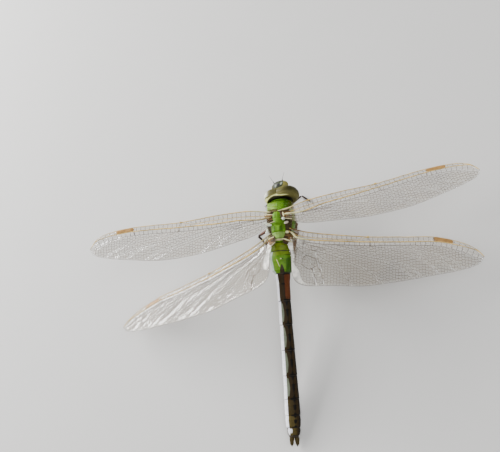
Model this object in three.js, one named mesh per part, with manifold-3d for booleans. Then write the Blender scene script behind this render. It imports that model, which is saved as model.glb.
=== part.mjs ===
// A female green darner dragonfly at life size, standing on its six feet with the tip of its abdomen on the floor.
// Millimetres. +X is the insect's right, +Y points ahead of its head, +Z is up and the floor is at z = 0.
// Each plate, eye, wing, feeler and leg joint is one closed solid, parted from its neighbours by a thin gap.
import * as THREE from "three";
import { mergeVertices } from "three/addons/utils/BufferGeometryUtils.js";
import Module from "manifold-3d";

const wasm = await Module();
wasm.setup();

// ---- Driving dimensions ------------------------------------------------------------------------------------------
const GAP = 0.15; // between neighbouring plates
const PLATE_THICKNESS = 0.5; // of a wing blade

const THORAX_LENGTH = 11.75;
const THORAX_PITCH = 8; // degrees, front end up
const THORAX_ROLL = 7; // degrees, top to the left
const THORAX_SHIFT = -0.05; // of its front end, to the left
const NECK_LENGTH = 0.5;
const SOLE_RADIUS = 0.3; // half thickness of a foot

const FOREWING_LENGTH = 51.5;
const HINDWING_LENGTH = 50;
const HINGE_X = 2.2; // wing roots from the middle plane
// Abdomen plates from the waist to the tip: length, half width, half height, downward slope and twist in degrees.
// A plate with a front starts with that half width.
const ABDOMEN = [
  { length: 2.3, front: 2.6, width: 2.85, height: 2.6, slope: 7, twist: 2 },
  { length: 5.8, front: 3.0, width: 3.25, height: 2.8, slope: 9, twist: 8 },
  { length: 7.1, front: 2.1, width: 1.75, height: 1.85, slope: 12, twist: 18 },
  { length: 6.1, width: 1.65, height: 1.8, slope: 14, twist: 26 },
  { length: 6.5, width: 1.66, height: 1.8, slope: 15, twist: 30 },
  { length: 6.4, width: 1.74, height: 1.8, slope: 15, twist: 30 },
  { length: 5.9, width: 1.82, height: 1.8, slope: 14, twist: 30 },
  { length: 4.1, width: 1.95, height: 1.75, slope: 12, twist: 30 },
  { length: 3.0, width: 1.95, height: 1.6, slope: 9, twist: 30 },
  { length: 2.0, width: 1.7, height: 1.3, slope: 6, twist: 30 },
];
const ABDOMEN_SHIFT = -0.2; // of the waist, to the left
const ABDOMEN_YAW = -0.6; // degrees, tip to the left
const PRESS = 0.1; // the tip rests on a small flat cut this deep
const TIP_WIDTH = 1.3;
const TIP_HEIGHT = 1.1;

const HEAD = { x: 0.8, y: 0.2, z: -0.5, pitch: -12, roll: -17 }; // from the front of the thorax
const EYE = { x: 1.7, y: 1.25, z: 0.4, rx: 3.25, ry: 2.3, rz: 3.45 };
const EYE_BACK = 0.75; // where the eyes end and the back of the head begins

// Each leg: hip on the thorax, lengths and thickness, right side. Then for each side the ankle on the floor and
// about where the knee is, from the waist with x outward and z from the floor, and the foot's turn from straight
// ahead outward. The legs are folded under the body, as in a dragonfly that has just settled.
const LEGS = {
  foreleg: {
    hip: [1.5, 9.4, -3.7], femur: 6.4, tibia: 6.0, tarsus: 2.9, thick: 0.5,
    left: { ankle: [4.1, 18.4], knee: [0.9, 14.1, 3.4], turn: 129 },
    right: { ankle: [4.1, 18.4], knee: [0.9, 14.1, 3.4], turn: 129 },
  },
  midleg: {
    hip: [2.0, 7.0, -4.7], femur: 6.6, tibia: 6.0, tarsus: 3.4, thick: 0.55,
    left: { ankle: [4.6, 2.4], knee: [8.4, 6.4, 2.6], turn: 172 },
    right: { ankle: [1.7, 8.3], knee: [1.5, 2.6, 2.2], turn: -12 },
  },
  hindleg: {
    hip: [2.1, 4.6, -4.7], femur: 8.4, tibia: 8.0, tarsus: 3.6, thick: 0.58,
    left: { ankle: [3.0, 3.1], knee: [3.2, -3.2, 5.4], turn: 175 },
    right: { ankle: [0.9, 3.45], knee: [1.2, -2.9, 5.2], turn: 185 },
  },
};

// How each wing is held: hinge on the thorax, then in degrees swept forward, tip raised and leading edge raised, and
// how much it is bent up towards the tip.
const WINGS = {
  forewing_left: { side: -1, hinge: [6.5, 3.4], sweep: -2.1, raise: -2.8, pitch: 2.5, bend: 0.05 },
  forewing_right: { side: 1, hinge: [6.9, 3.8], sweep: 11.4, raise: -8.9, pitch: -14, bend: 0.03 },
  hindwing_left: { side: -1, hinge: [0.0, 3.5], sweep: -20.5, raise: -19, pitch: -28, bend: 0.09 },
  hindwing_right: { side: 1, hinge: [0.7, 2.5], sweep: -6.5, raise: -14.5, pitch: -8.2, bend: 0.06 },
};

const COLOURS = {
  green: 0x6f9a1e,
  olive: 0x6b6a33,
  black: 0x17150f,
  yellow: 0xb7b15a,
  brown: 0x4a3a28,
  leg: 0x4c2415,
  wing: 0xb9a88a,
};

// ---- Helpers -----------------------------------------------------------------------------------------------------
const rad = THREE.MathUtils.degToRad;
const lerp = THREE.MathUtils.lerp;

// A smooth function through [x, value] knots.
function profile(...knots) {
  return (x) => {
    let i = 0;
    while (i < knots.length - 2 && x > knots[i + 1][0]) i++;
    const [a, b] = [knots[i], knots[i + 1]];
    const t = THREE.MathUtils.clamp((x - a[0]) / (b[0] - a[0]), 0, 1);
    return lerp(a[1], b[1], t * t * (3 - 2 * t));
  };
}

const material = (name, roughness = 0.5) =>
  new THREE.MeshStandardMaterial({ color: COLOURS[name], roughness, metalness: 0 });

// A closed shell round a spine: section(t) gives the ring's centre, half width, half heights and squareness at t,
// which runs from 0 to 1 along it. side and up are the ring's own axes.
function shell(section, around = 20, along = 8) {
  const tube = new THREE.CylinderGeometry(1, 1, 1, around, along);
  const place = tube.attributes.position;
  const point = new THREE.Vector3();
  for (let i = 0; i < place.count; i++) {
    point.fromBufferAttribute(place, i);
    const s = section(0.5 - point.y);
    const reach = Math.min(1, Math.hypot(point.x, point.z));
    const angle = Math.atan2(-point.z, point.x);
    const [c, n] = [Math.cos(angle), Math.sin(angle)];
    const rise = Math.sign(n) * Math.abs(n) ** (s.square ?? 1) * (n > 0 ? s.top : s.bottom);
    const narrow = 1 - (s.narrow ?? 0) * Math.max(0, n) ** 1.5;
    const out = Math.sign(c) * Math.abs(c) ** (s.square ?? 1) * s.width * narrow;
    point.copy(s.centre).addScaledVector(s.side, out * reach).addScaledVector(s.up, rise * reach);
    place.setXYZ(i, point.x, point.y, point.z);
  }
  return closed(tube);
}

// The same triangles with shared corners and no other attributes, so that the surface is closed.
function closed(geometry) {
  const bare = geometry.clone();
  for (const name of Object.keys(bare.attributes)) if (name !== "position") bare.deleteAttribute(name);
  return mergeVertices(bare, 1e-4);
}

function solidOf(mesh) {
  mesh.updateWorldMatrix(true, false);
  const geometry = closed(mesh.geometry).applyMatrix4(mesh.matrixWorld);
  return new wasm.Manifold(
    new wasm.Mesh({
      numProp: 3,
      vertProperties: geometry.attributes.position.array,
      triVerts: new Uint32Array(geometry.index.array),
    }),
  );
}

function meshOf(solid, name, paint) {
  const { vertProperties, triVerts } = solid.getMesh();
  const geometry = new THREE.BufferGeometry()
    .setAttribute("position", new THREE.BufferAttribute(vertProperties, 3))
    .setIndex(new THREE.BufferAttribute(triVerts, 1));
  return named(geometry, name, paint);
}

function named(geometry, name, paint) {
  const mesh = new THREE.Mesh(geometry, paint);
  mesh.name = name;
  return mesh;
}

// A straight or tapering rod from one point to another, with round shoulders.
function rod(from, to, startRadius, endRadius, around = 7) {
  const along = new THREE.Vector3().subVectors(to, from);
  const direction = along.clone().normalize();
  const side = new THREE.Vector3().crossVectors(direction, new THREE.Vector3(0, 0, 1)).normalize();
  const up = new THREE.Vector3().crossVectors(side, direction);
  const shoulder = profile([0, 0.55], [0.12, 1], [0.88, 1], [1, 0.6]);
  return shell(
    (t) => {
      const radius = lerp(startRadius, endRadius, t) * shoulder(t);
      return { centre: from.clone().addScaledVector(along, t), side, up, width: radius, top: radius, bottom: radius };
    },
    around,
    4,
  );
}

const AXIS = { side: new THREE.Vector3(1, 0, 0), up: new THREE.Vector3(0, 0, 1) };

// ---- Thorax and neck ---------------------------------------------------------------------------------------------
const thoraxWidth = profile([0, 1.9], [0.112, 2.9], [0.47, 3.7], [0.75, 3.55], [0.884, 3.4], [0.96, 3.15], [1, 2.5]);
const thoraxTop = profile([0, 2.4], [0.09, 3.15], [0.28, 3.5], [0.58, 3.6], [0.76, 2.8], [0.9, 1.95], [1, 0.9]);
const thoraxBottom = profile([0, 2.2], [0.14, 3.6], [0.38, 5.0], [0.68, 5.3], [0.85, 4.5], [1, 2.4]);
const thoraxShift = profile([0.3, 0], [0.9, THORAX_SHIFT]);
const roll = rad(THORAX_ROLL);
const ROLLED = {
  side: new THREE.Vector3(Math.cos(roll), 0, Math.sin(roll)),
  up: new THREE.Vector3(-Math.sin(roll), 0, Math.cos(roll)),
};

function thoraxShell(grow = 0) {
  return shell(
    (t) => ({
      ...ROLLED,
      centre: new THREE.Vector3(thoraxShift(t), lerp(GAP - grow, THORAX_LENGTH + grow, t), 0),
      width: thoraxWidth(t) + grow,
      top: thoraxTop(t) + grow,
      bottom: thoraxBottom(t) + grow,
      square: 0.9,
      narrow: 0.38,
    }),
    24,
    16,
  );
}

function prothoraxShell(grow = 0) {
  const width = profile([0, 1.8], [0.5, 1.5], [1, 0.8]);
  return shell(
    (t) => ({
      ...AXIS,
      centre: new THREE.Vector3(THORAX_SHIFT / 2 + 0.4 * t, THORAX_LENGTH + GAP + lerp(-grow, NECK_LENGTH + grow, t), -0.6),
      width: width(t) + grow,
      top: width(t) * 0.85 + grow,
      bottom: width(t) * 1.1 + grow,
    }),
    16,
    3,
  );
}

// ---- Head, in its own frame: origin at the neck ------------------------------------------------------------------
function ellipsoid(x, y, z, rx, ry, rz, around = 24, along = 16) {
  const ball = closed(new THREE.SphereGeometry(1, around, along));
  return ball.scale(rx, ry, rz).translate(x, y, z);
}

// The head's solids, kept clear of the room that the neck and the thorax need.
function cutHead(frame, room) {
  const placed = (geometry) => solidOf(new THREE.Mesh(geometry.applyMatrix4(frame)));
  const half = (x) => placed(ellipsoid(x * EYE.x, EYE.y, EYE.z, EYE.rx, EYE.ry, EYE.rz, 22, 14));
  const block = (x, y, z, w, d, h) => placed(new THREE.BoxGeometry(w, d, h).translate(x, y, z));
  const ball = (...sizes) => placed(ellipsoid(...sizes));
  const far = 20;
  const face = ball(0, 3.1, -1.1, 2.15, 1.85, 3.1, 14, 10);
  const frons = ball(0, 3.6, 1.7, 2.25, 1.45, 1.15, 16, 10);
  const jaw = ball(0, 2.1, -3.0, 2.1, 2.0, 1.4, 12, 8);
  const faceRoom = ball(0, 3.1, -1.1, 2.15 + GAP, 1.85 + GAP, 3.1 + GAP, 14, 10);
  const fronsRoom = ball(0, 3.6, 1.7, 2.25 + GAP, 1.45 + GAP, 1.15 + GAP, 16, 10);
  const jawRoom = ball(0, 2.1, -3.0, 2.1 + GAP, 2.0 + GAP, 1.4 + GAP, 12, 8);
  const behind = ball(0, -2.1, -0.4, 3.6, 3.1, 3.4, 16, 12); // the hollow back of the head
  const rear = -0.3;
  const front = EYE_BACK - GAP;
  const largest = (solid) => solid.decompose().sort((a, b) => b.volume() - a.volume())[0];
  const back = half(-1).add(half(1)).intersect(block(0, (rear + front) / 2, 0, far, front - rear, far));
  const ahead = block(0, far / 2 + EYE_BACK, 0, far, far, far);
  const eye = (x) =>
    half(x)
      .intersect(block(x * (far / 2 + GAP / 2), far / 2 + EYE_BACK, 0, far, far, far))
      .subtract(faceRoom)
      .subtract(fronsRoom)
      .subtract(jawRoom);
  return {
    head_back: [largest(back.subtract(behind).subtract(room)), "yellow"],
    eye_left: [largest(eye(-1)), "olive"],
    eye_right: [largest(eye(1)), "olive"],
    frons: [frons, "yellow"],
    face: [face.subtract(fronsRoom).intersect(ahead), "yellow"],
    labium: [largest(jaw.subtract(faceRoom).intersect(ahead)), "olive"],
  };
}

function antenna(side) {
  const root = new THREE.Vector3(side * 1.4, 5.05, 2.4);
  const tip = new THREE.Vector3(side * 2.3, 7.0, 2.9);
  return rod(root, tip, 0.27, 0.25, 6);
}

// ---- Abdomen -----------------------------------------------------------------------------------------------------
function abdomenPlate(index) {
  const plate = ABDOMEN[index];
  const next = ABDOMEN[index + 1] ?? { width: TIP_WIDTH, height: TIP_HEIGHT };
  const front = plate.front ?? plate.width;
  const back = next.front ?? next.width;
  const middle = index === 1 ? 0.28 : 0.4; // the second plate is widest near its front
  const late = index === 1 ? 0.85 : 0.9;
  const width = profile([0, front * 0.97], [middle, plate.width], [late, (plate.width + back) / 2 + 0.04], [1, back * 0.97]);
  const height = profile(
    [0, (plate.height * front) / plate.width * 0.97],
    [middle, plate.height],
    [late, (plate.height + (next.height * back) / next.width) / 2 + 0.04],
    [1, ((next.height * back) / next.width) * 0.97],
  );
  const twist = rad(plate.twist);
  const side = new THREE.Vector3(-Math.cos(twist), 0, Math.sin(twist));
  const up = new THREE.Vector3(Math.sin(twist), 0, Math.cos(twist));
  return shell(
    (t) => ({
      side,
      up,
      centre: new THREE.Vector3(0, -lerp(GAP / 2, plate.length - GAP / 2, t), 0),
      width: width(t),
      top: height(t),
      bottom: height(t),
      square: 0.92,
    }),
    16,
    5,
  );
}

// Lays the plates end to end, each sloping down by its own angle, and gives the waist's height over the floor.
function abdomenChain() {
  const chain = [];
  const point = new THREE.Vector3();
  for (const plate of ABDOMEN) {
    const slope = rad(plate.slope);
    chain.push({ at: point.clone(), slope });
    point.add(new THREE.Vector3(0, -Math.cos(slope), -Math.sin(slope)).multiplyScalar(plate.length));
  }
  return { chain, drop: -point.z };
}

function cercus(side) {
  const length = 2.5;
  const width = profile([0, 0.3], [0.35, 0.52], [0.8, 0.42], [1, 0.25]);
  return shell(
    (t) => ({
      ...AXIS,
      side: new THREE.Vector3(-1, 0, 0),
      centre: new THREE.Vector3(side * (0.62 + 0.25 * Math.sin(t * Math.PI * 0.6)), -GAP - t * length, 0.25 + 0.1 * t),
      width: width(t),
      top: 0.27,
      bottom: 0.27,
    }),
    8,
    5,
  );
}

// ---- Wings -------------------------------------------------------------------------------------------------------
// Edges of a right wing from root to tip, as shares of its length along x and millimetres across, ahead positive.
const OUTLINES = {
  forewing: {
    lead: [[0, 1.7], [0.12, 3.0], [0.3, 3.2], [0.49, 2.85], [0.64, 3.25], [0.78, 3.35], [0.89, 2.75], [0.96, 1.3], [1, -1.35]],
    trail: [[0, -1.6], [0.08, -4.0], [0.2, -5.3], [0.35, -6.65], [0.5, -7.25], [0.64, -7.0], [0.78, -5.8], [0.9, -4.6], [0.975, -3.25], [1, -1.35]],
  },
  hindwing: {
    lead: [[0, 3.1], [0.1, 2.4], [0.24, 2.25], [0.42, 2.35], [0.6, 2.95], [0.76, 3.35], [0.88, 2.25], [0.96, 0.4], [1, -1.7]],
    trail: [[0, -1.8], [0.018, -4.2], [0.045, -10.2], [0.12, -13.0], [0.24, -12.3], [0.4, -11.75], [0.56, -10.05], [0.72, -8.0], [0.88, -5.8], [0.97, -3.9], [1, -1.7]],
  },
};
const PLEATS = [0, 0.35, 0.15, -0.25, 0.1, 0.2, 0]; // height of the blade from leading to trailing edge

function wingBlade(kind, length, side, bend) {
  const edge = (points) => new THREE.SplineCurve(points.map(([x, y]) => new THREE.Vector2(x * length, y)));
  const [lead, trail] = [edge(OUTLINES[kind].lead), edge(OUTLINES[kind].trail)];
  const [columns, rows] = [18, PLEATS.length - 1];
  const slab = new THREE.BoxGeometry(1, 1, 1, columns, rows, 1);
  const place = slab.attributes.position;
  for (let i = 0; i < place.count; i++) {
    const [u, v] = [place.getX(i) + 0.5, 0.5 - place.getY(i)];
    const along = lerp(u, 0.5 - 0.5 * Math.cos(u * Math.PI), 0.72);
    const [a, b] = [lead.getPointAt(Math.min(1, along)), trail.getPointAt(Math.min(1, along))];
    const share = Math.min(v, 1);
    // The last column keeps a small width, so that the tip is blunt and the blade stays closed.
    const width = u > 0.999 ? 0.35 : 0;
    const x = lerp(a.x, b.x, share);
    const y = lerp(a.y, b.y, share) + width * (0.5 - share);
    const pleat = PLEATS[Math.round(share * rows)] * (1 - 0.8 * u);
    const bow = bend * length * (x / length) ** 2;
    place.setXYZ(i, side * x, y, place.getZ(i) * PLATE_THICKNESS + pleat + bow);
  }
  const blade = closed(slab);
  if (side < 0) blade.index.array.reverse();
  return blade;
}

// ---- Legs --------------------------------------------------------------------------------------------------------
// The knee of a leg with two lengths, bent towards the pole direction.
function kneeOf(hip, ankle, femur, tibia, pole) {
  const reach = new THREE.Vector3().subVectors(ankle, hip);
  const span = Math.min(reach.length(), (femur + tibia) * 0.999);
  const along = (femur ** 2 - tibia ** 2 + span ** 2) / (2 * span);
  const out = Math.sqrt(Math.max(0, femur ** 2 - along ** 2));
  reach.normalize();
  const bent = pole.clone().addScaledVector(reach, -pole.dot(reach)).normalize();
  return hip.clone().addScaledVector(reach, along).addScaledVector(bent, out);
}

// Shortens a stretch at both ends, so that neighbouring leg joints keep clear of each other.
function between(a, b, start, end) {
  const way = new THREE.Vector3().subVectors(b, a).normalize();
  return [a.clone().addScaledVector(way, start), b.clone().addScaledVector(way, -end)];
}

// How far two rods of one thickness must stop short of the joint between them, which is more when it is sharply bent.
function jointGap(from, joint, to, thick) {
  const angle = new THREE.Vector3().subVectors(from, joint).angleTo(new THREE.Vector3().subVectors(to, joint));
  return Math.max(0.25, (thick * 0.45) / Math.sin(angle / 2) + 0.08);
}

function foot(ankle, leg, way, gap) {
  const [side, up] = [new THREE.Vector3(-way.y, way.x, 0), AXIS.up];
  const thick = profile([0, 0.24], [0.5, SOLE_RADIUS], [0.85, 0.28], [1, 0.22]);
  const geometry = shell(
    (t) => ({
      side: side.clone().negate(),
      up,
      centre: ankle.clone().addScaledVector(way, gap + t * (leg.tarsus - gap)).setZ(SOLE_RADIUS * 0.7 + 0.12 * (1 - t)),
      width: thick(t),
      top: thick(t) * 0.95,
      bottom: thick(t) * 1.6,
    }),
    8,
    4,
  );
  return onFloor(solidOf(new THREE.Mesh(geometry)));
}

// Cuts away what would be under the floor, which leaves a flat sole.
function onFloor(solid) {
  return solid.trimByPlane([0, 0, 1], 0);
}

// ---- Assembly ----------------------------------------------------------------------------------------------------
const model = new THREE.Group();
const { chain, drop } = abdomenChain();
const waist = new THREE.Vector3(0, 0, drop + TIP_HEIGHT - PRESS);

const thoraxFrame = new THREE.Group();
thoraxFrame.position.copy(waist);
thoraxFrame.rotation.x = rad(THORAX_PITCH);
model.add(thoraxFrame);
thoraxFrame.add(named(thoraxShell(), "thorax", material("green", 0.45)));
thoraxFrame.add(named(prothoraxShell(), "prothorax", material("green", 0.5)));

const headFrame = new THREE.Group();
headFrame.position.set(HEAD.x, THORAX_LENGTH + HEAD.y, HEAD.z);
headFrame.rotation.set(rad(HEAD.pitch), rad(HEAD.roll), 0);
thoraxFrame.add(headFrame);
model.updateMatrixWorld(true);
const roomFor = (geometry) => solidOf(new THREE.Mesh(geometry.applyMatrix4(thoraxFrame.matrixWorld)));
const room = roomFor(thoraxShell(GAP));
const neckRoom = roomFor(prothoraxShell(2.5 * GAP));
for (const [name, [solid, paint]] of Object.entries(cutHead(headFrame.matrixWorld, room.add(neckRoom)))) {
  model.add(meshOf(solid, name, material(paint, paint === "olive" ? 0.2 : 0.4)));
}
headFrame.add(named(antenna(-1), "antenna_left", material("black")));
headFrame.add(named(antenna(1), "antenna_right", material("black")));

const tail = new THREE.Group();
tail.position.copy(waist).setX(ABDOMEN_SHIFT);
tail.rotation.z = rad(ABDOMEN_YAW);
model.add(tail);
chain.forEach(({ at, slope }, index) => {
  const frame = new THREE.Group();
  frame.position.copy(at);
  frame.rotation.x = slope;
  tail.add(frame);
  const paint = material(index < 2 ? "green" : "brown", 0.35);
  frame.updateWorldMatrix(true, false);
  const plate = new THREE.Mesh(abdomenPlate(index).applyMatrix4(frame.matrixWorld));
  model.add(meshOf(onFloor(solidOf(plate)), `abdomen_${index + 1}`, paint));
});

const last = chain.at(-1);
const tipFrame = new THREE.Group();
const tipTravel = new THREE.Vector3(0, -Math.cos(last.slope), -Math.sin(last.slope));
tipFrame.position.copy(last.at).addScaledVector(tipTravel, ABDOMEN.at(-1).length);
tipFrame.rotation.set(rad(2), rad(ABDOMEN.at(-1).twist), 0);
tipFrame.add(named(cercus(-1), "cercus_left", material("brown")));
tipFrame.add(named(cercus(1), "cercus_right", material("brown")));
tail.add(tipFrame);

model.updateMatrixWorld(true);

// Wings and hips are cut clear of the thorax, which they are rooted in.
function clearOfThorax(mesh) {
  const pieces = solidOf(mesh).subtract(room).decompose();
  return pieces.sort((a, b) => b.volume() - a.volume())[0];
}

for (const [name, hold] of Object.entries(WINGS)) {
  const kind = name.split("_")[0];
  const length = kind === "forewing" ? FOREWING_LENGTH : HINDWING_LENGTH;
  const root = thoraxFrame.localToWorld(new THREE.Vector3(hold.side * HINGE_X, ...hold.hinge));
  const wing = named(wingBlade(kind, length, hold.side, hold.bend), name, material("wing", 0.2));
  wing.material.transparent = true;
  wing.material.opacity = 0.4;
  wing.position.copy(root);
  wing.rotation.set(rad(hold.pitch), rad(-hold.side * hold.raise), rad(hold.side * hold.sweep), "ZYX");
  model.add(meshOf(clearOfThorax(wing), name, wing.material));
}

for (const [legName, leg] of Object.entries(LEGS)) {
  for (const [sideName, side] of [["left", -1], ["right", 1]]) {
    const pose = leg[sideName];
    const hip = thoraxFrame.localToWorld(new THREE.Vector3(side * leg.hip[0], leg.hip[1], leg.hip[2]));
    const ankle = new THREE.Vector3(side * pose.ankle[0], pose.ankle[1], SOLE_RADIUS * 0.7 + 0.12);
    const coxaEnd = hip.clone().add(new THREE.Vector3(side * 1.1, 0, -1.5));
    const pole = new THREE.Vector3(side * pose.knee[0], pose.knee[1], pose.knee[2]).sub(coxaEnd);
    const knee = kneeOf(coxaEnd, ankle, leg.femur, leg.tibia, pole);
    const heading = side > 0 ? rad(90 - pose.turn) : rad(90 + pose.turn);
    const way = new THREE.Vector3(Math.cos(heading), Math.sin(heading), 0);
    const hipGap = jointGap(hip, coxaEnd, knee, leg.thick * 1.55);
    const gap = jointGap(coxaEnd, knee, ankle, leg.thick);
    const ankleGap = jointGap(knee, ankle, ankle.clone().add(way), SOLE_RADIUS * 1.4);
    const paint = material("leg", 0.45);
    const name = (joint) => `${legName}_${sideName}_${joint}`;
    const add = (joint, ends, ...radii) => model.add(named(rod(...ends, ...radii), name(joint), paint));
    const coxa = new THREE.Mesh(rod(...between(hip, coxaEnd, 0, 0.1), leg.thick * 1.5, leg.thick * 1.1));
    model.add(meshOf(clearOfThorax(coxa), name("coxa"), paint));
    add("femur", between(coxaEnd, knee, hipGap, gap), leg.thick, leg.thick * 0.72);
    add("tibia", between(knee, ankle, gap, ankleGap), leg.thick * 0.62, 0.27);
    model.add(meshOf(foot(ankle, leg, way, ankleGap), name("tarsus"), paint));
  }
}

// The origin is on the floor, under the middle of the whole insect.
const bounds = new THREE.Box3().setFromObject(model, true);
const middle = bounds.getCenter(new THREE.Vector3());
model.position.set(-middle.x, -middle.y, -bounds.min.z);

export default model;
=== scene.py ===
"""A green darner dragonfly at life size: its shell, eyes, legs and four veined wings, dressed over the solid part."""

import math

import bmesh
import bpy
import numpy as np
from bpy.props import FloatProperty, FloatVectorProperty, IntProperty, PointerProperty
from mathutils import Matrix, Vector
from mathutils.geometry import delaunay_2d_cdt


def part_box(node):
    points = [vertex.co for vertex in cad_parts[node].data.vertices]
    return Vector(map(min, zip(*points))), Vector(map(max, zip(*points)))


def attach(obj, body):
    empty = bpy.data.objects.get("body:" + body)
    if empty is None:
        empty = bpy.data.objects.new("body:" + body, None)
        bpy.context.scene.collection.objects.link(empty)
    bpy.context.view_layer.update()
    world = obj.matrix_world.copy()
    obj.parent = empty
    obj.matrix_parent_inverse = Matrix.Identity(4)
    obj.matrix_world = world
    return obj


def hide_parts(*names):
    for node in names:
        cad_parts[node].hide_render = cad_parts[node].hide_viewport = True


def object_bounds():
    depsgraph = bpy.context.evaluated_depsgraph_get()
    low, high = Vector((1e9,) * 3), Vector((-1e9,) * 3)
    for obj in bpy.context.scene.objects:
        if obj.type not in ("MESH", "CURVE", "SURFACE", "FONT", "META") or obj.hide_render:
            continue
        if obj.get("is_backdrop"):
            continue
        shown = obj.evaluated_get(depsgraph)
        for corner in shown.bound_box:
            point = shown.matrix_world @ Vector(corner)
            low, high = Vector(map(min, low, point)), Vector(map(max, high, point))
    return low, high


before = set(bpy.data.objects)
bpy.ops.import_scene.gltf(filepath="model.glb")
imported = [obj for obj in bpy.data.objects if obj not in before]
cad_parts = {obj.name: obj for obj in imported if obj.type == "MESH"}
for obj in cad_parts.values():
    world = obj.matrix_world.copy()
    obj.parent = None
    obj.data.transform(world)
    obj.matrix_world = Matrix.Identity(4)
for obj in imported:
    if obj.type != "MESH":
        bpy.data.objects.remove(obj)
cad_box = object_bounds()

bl_info = {
    "name": "Green Darner Dragonfly",
    "version": (1, 0, 0),
    "blender": (4, 5, 0),
    "location": "3D View > Sidebar > Dragonfly",
    "description": "Builds a life-size female green darner dragonfly with veined wings",
    "category": "Add Mesh",
}

MM = 0.001
SIDES = {"left": -1, "right": 1}


# ---- Settings ------------------------------------------------------------------------------------------------------
def length(name, millimetres, description):
    return FloatProperty(name=name, description=description, default=millimetres * MM, unit="LENGTH", precision=5)


def turn(name, degrees, description):
    return FloatProperty(name=name, description=description, default=math.radians(degrees), unit="ROTATION")


def share(name, value, description):
    return FloatProperty(name=name, description=description, default=value, min=0, max=1, subtype="FACTOR")


def colour(name, rgb, description):
    return FloatVectorProperty(name=name, description=description, default=rgb, size=3, min=0, max=1, subtype="COLOR")


class BodySettings(bpy.types.PropertyGroup):
    thorax_length: length("Thorax length", 11.75, "From the waist to the collar")
    thorax_pitch: turn("Thorax pitch", 8, "How far the front of the thorax is raised")
    thorax_roll: turn("Thorax roll", 7, "How far the thorax leans to the left")
    neck: length("Neck", 0.5, "Length of the collar")
    seam: length("Seam", 0.15, "Gap between neighbouring plates")
    tail_shift: length("Tail shift", -0.2, "Waist end of the tail, to the right")
    tail_yaw: turn("Tail yaw", -0.6, "Turn of the tail, tip to the right")
    head_out: length("Head out", 0.8, "Neck point to the right of the thorax axis")
    head_ahead: length("Head ahead", 0.2, "Neck point ahead of the thorax")
    head_drop: length("Head drop", 0.5, "Neck point below the thorax axis")
    head_nod: turn("Head nod", 12, "How far the face is turned down")
    head_roll: turn("Head roll", 17, "How far the head leans to the left")
    green: colour("Green", (0.10, 0.235, 0.005), "Thorax and the first two tail plates")
    # A lighter green painted as light: on the lit left of the thorax's front, and as a painted sheen on the second tail
    # plate's left flank.
    bright: colour("Bright green", (0.13, 0.25, 0.005), "Front of the thorax")
    cream: colour("Cream", (0.72, 0.68, 0.36), "Ridges, wing hinges and the eye rim")
    suture: colour("Suture", (0.045, 0.035, 0.012), "Grooves between plates")
    umber: colour("Umber", (0.03, 0.018, 0.006), "Top of the tail")
    rust: colour("Rust", (0.12, 0.036, 0.012), "Third tail plate")
    # Near white: the pale flanks' own colour, made whiter to stand as a painted highlight of the light along the lit
    # flank.
    ash: colour("Ash", (0.90, 0.89, 0.98), "Flanks of the tail")
    lens: colour("Grey green", (0.14, 0.155, 0.11), "Long patches along the tail's flanks")
    # Also laid as painted shade down the right side of the later tail plates.
    black: colour("Black", (0.006, 0.005, 0.004), "Rings and the middle line of the tail")
    hairs: IntProperty(name="Hairs", description="Hairs tried on the thorax", default=5000, min=0)
    hair_seed: IntProperty(name="Hair seed", description="Start of the random hairs", default=3, min=0)


class HeadSettings(bpy.types.PropertyGroup):
    eye_out: length("Eye out", 1.7, "Middle of each eye from the middle plane")
    eye_forward: length("Eye forward", 1.25, "Middle of each eye ahead of the neck")
    eye_up: length("Eye up", 0.4, "Middle of each eye above the neck")
    eye_width: length("Eye width", 6.5, "Across one eye before the two meet")
    eye_depth: length("Eye depth", 4.6, "Front to back of an eye")
    eye_height: length("Eye height", 6.9, "Top to bottom of an eye")
    eye_back: length("Eye back", 0.75, "Where the eyes end and the rim behind them begins")
    eye_top: colour("Eye top", (0.085, 0.077, 0.02), "Upper part of the eyes")
    eye_low: colour("Eye underside", (0.16, 0.19, 0.03), "Lower part of the eyes")
    face: colour("Face", (0.34, 0.30, 0.07), "Front of the head")
    spot: colour("Spot", (0.004, 0.004, 0.006), "Round spot on the forehead")
    # Pale patches beside the spot, painted as highlights on the shiny ring.
    ring_glints: colour("Halo", (0.24, 0.28, 0.22), "Shiny ring round the spot")


class WingSettings(bpy.types.PropertyGroup):
    forewing: length("Forewing length", 51.5, "Hinge to tip")
    hindwing: length("Hindwing length", 50, "Hinge to tip")
    hinge_out: length("Hinge out", 2.2, "Wing hinges from the middle plane")
    rib: length("Rib radius", 0.15, "Half thickness of the leading rib at its root")
    vein: length("Vein radius", 0.045, "Half thickness of a cross vein")
    film_depth: length("Film depth", 0.03, "Thickness of the clear film")
    film: colour("Film", (0.36, 0.29, 0.17), "Tint of the clear film")
    film_alpha: share("Film alpha", 0.2, "How much one face of the film hides")
    gold: colour("Gold", (0.70, 0.47, 0.12), "Leading ribs")
    brown: colour("Brown", (0.07, 0.035, 0.015), "Other veins")
    stigma: colour("Wing spot", (0.40, 0.22, 0.07), "Thick cell near each wing tip")
    seed: IntProperty(name="Seed", description="Start of the random cells", default=7, min=0)


class LegSettings(bpy.types.PropertyGroup):
    sole: length("Sole", 0.3, "Half thickness of a foot")
    spine: length("Spine", 1.1, "Length of the longest bristles")
    shell: colour("Leg", (0.11, 0.035, 0.014), "Thighs")
    dark: colour("Dark leg", (0.035, 0.016, 0.009), "Shins and feet")


class StageSettings(bpy.types.PropertyGroup):
    back: turn("Camera back", 22, "Tilt of the view towards the tail")
    across: turn("Camera across", 14, "Tilt of the view towards the insect's right")
    spin: turn("Camera spin", -1, "Turn of the picture")
    distance: length("Distance", 180, "Camera from the middle of the back")
    off_right: length("Off right", 7.4, "Middle of the back right of the view's centre")
    off_up: length("Off up", 1.3, "Middle of the back above the view's centre")
    lens: FloatProperty(name="Lens", description="Focal length in millimetres", default=49.25)
    floor: colour("Floor", (0.71, 0.70, 0.68), "Plain pale floor")


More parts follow.
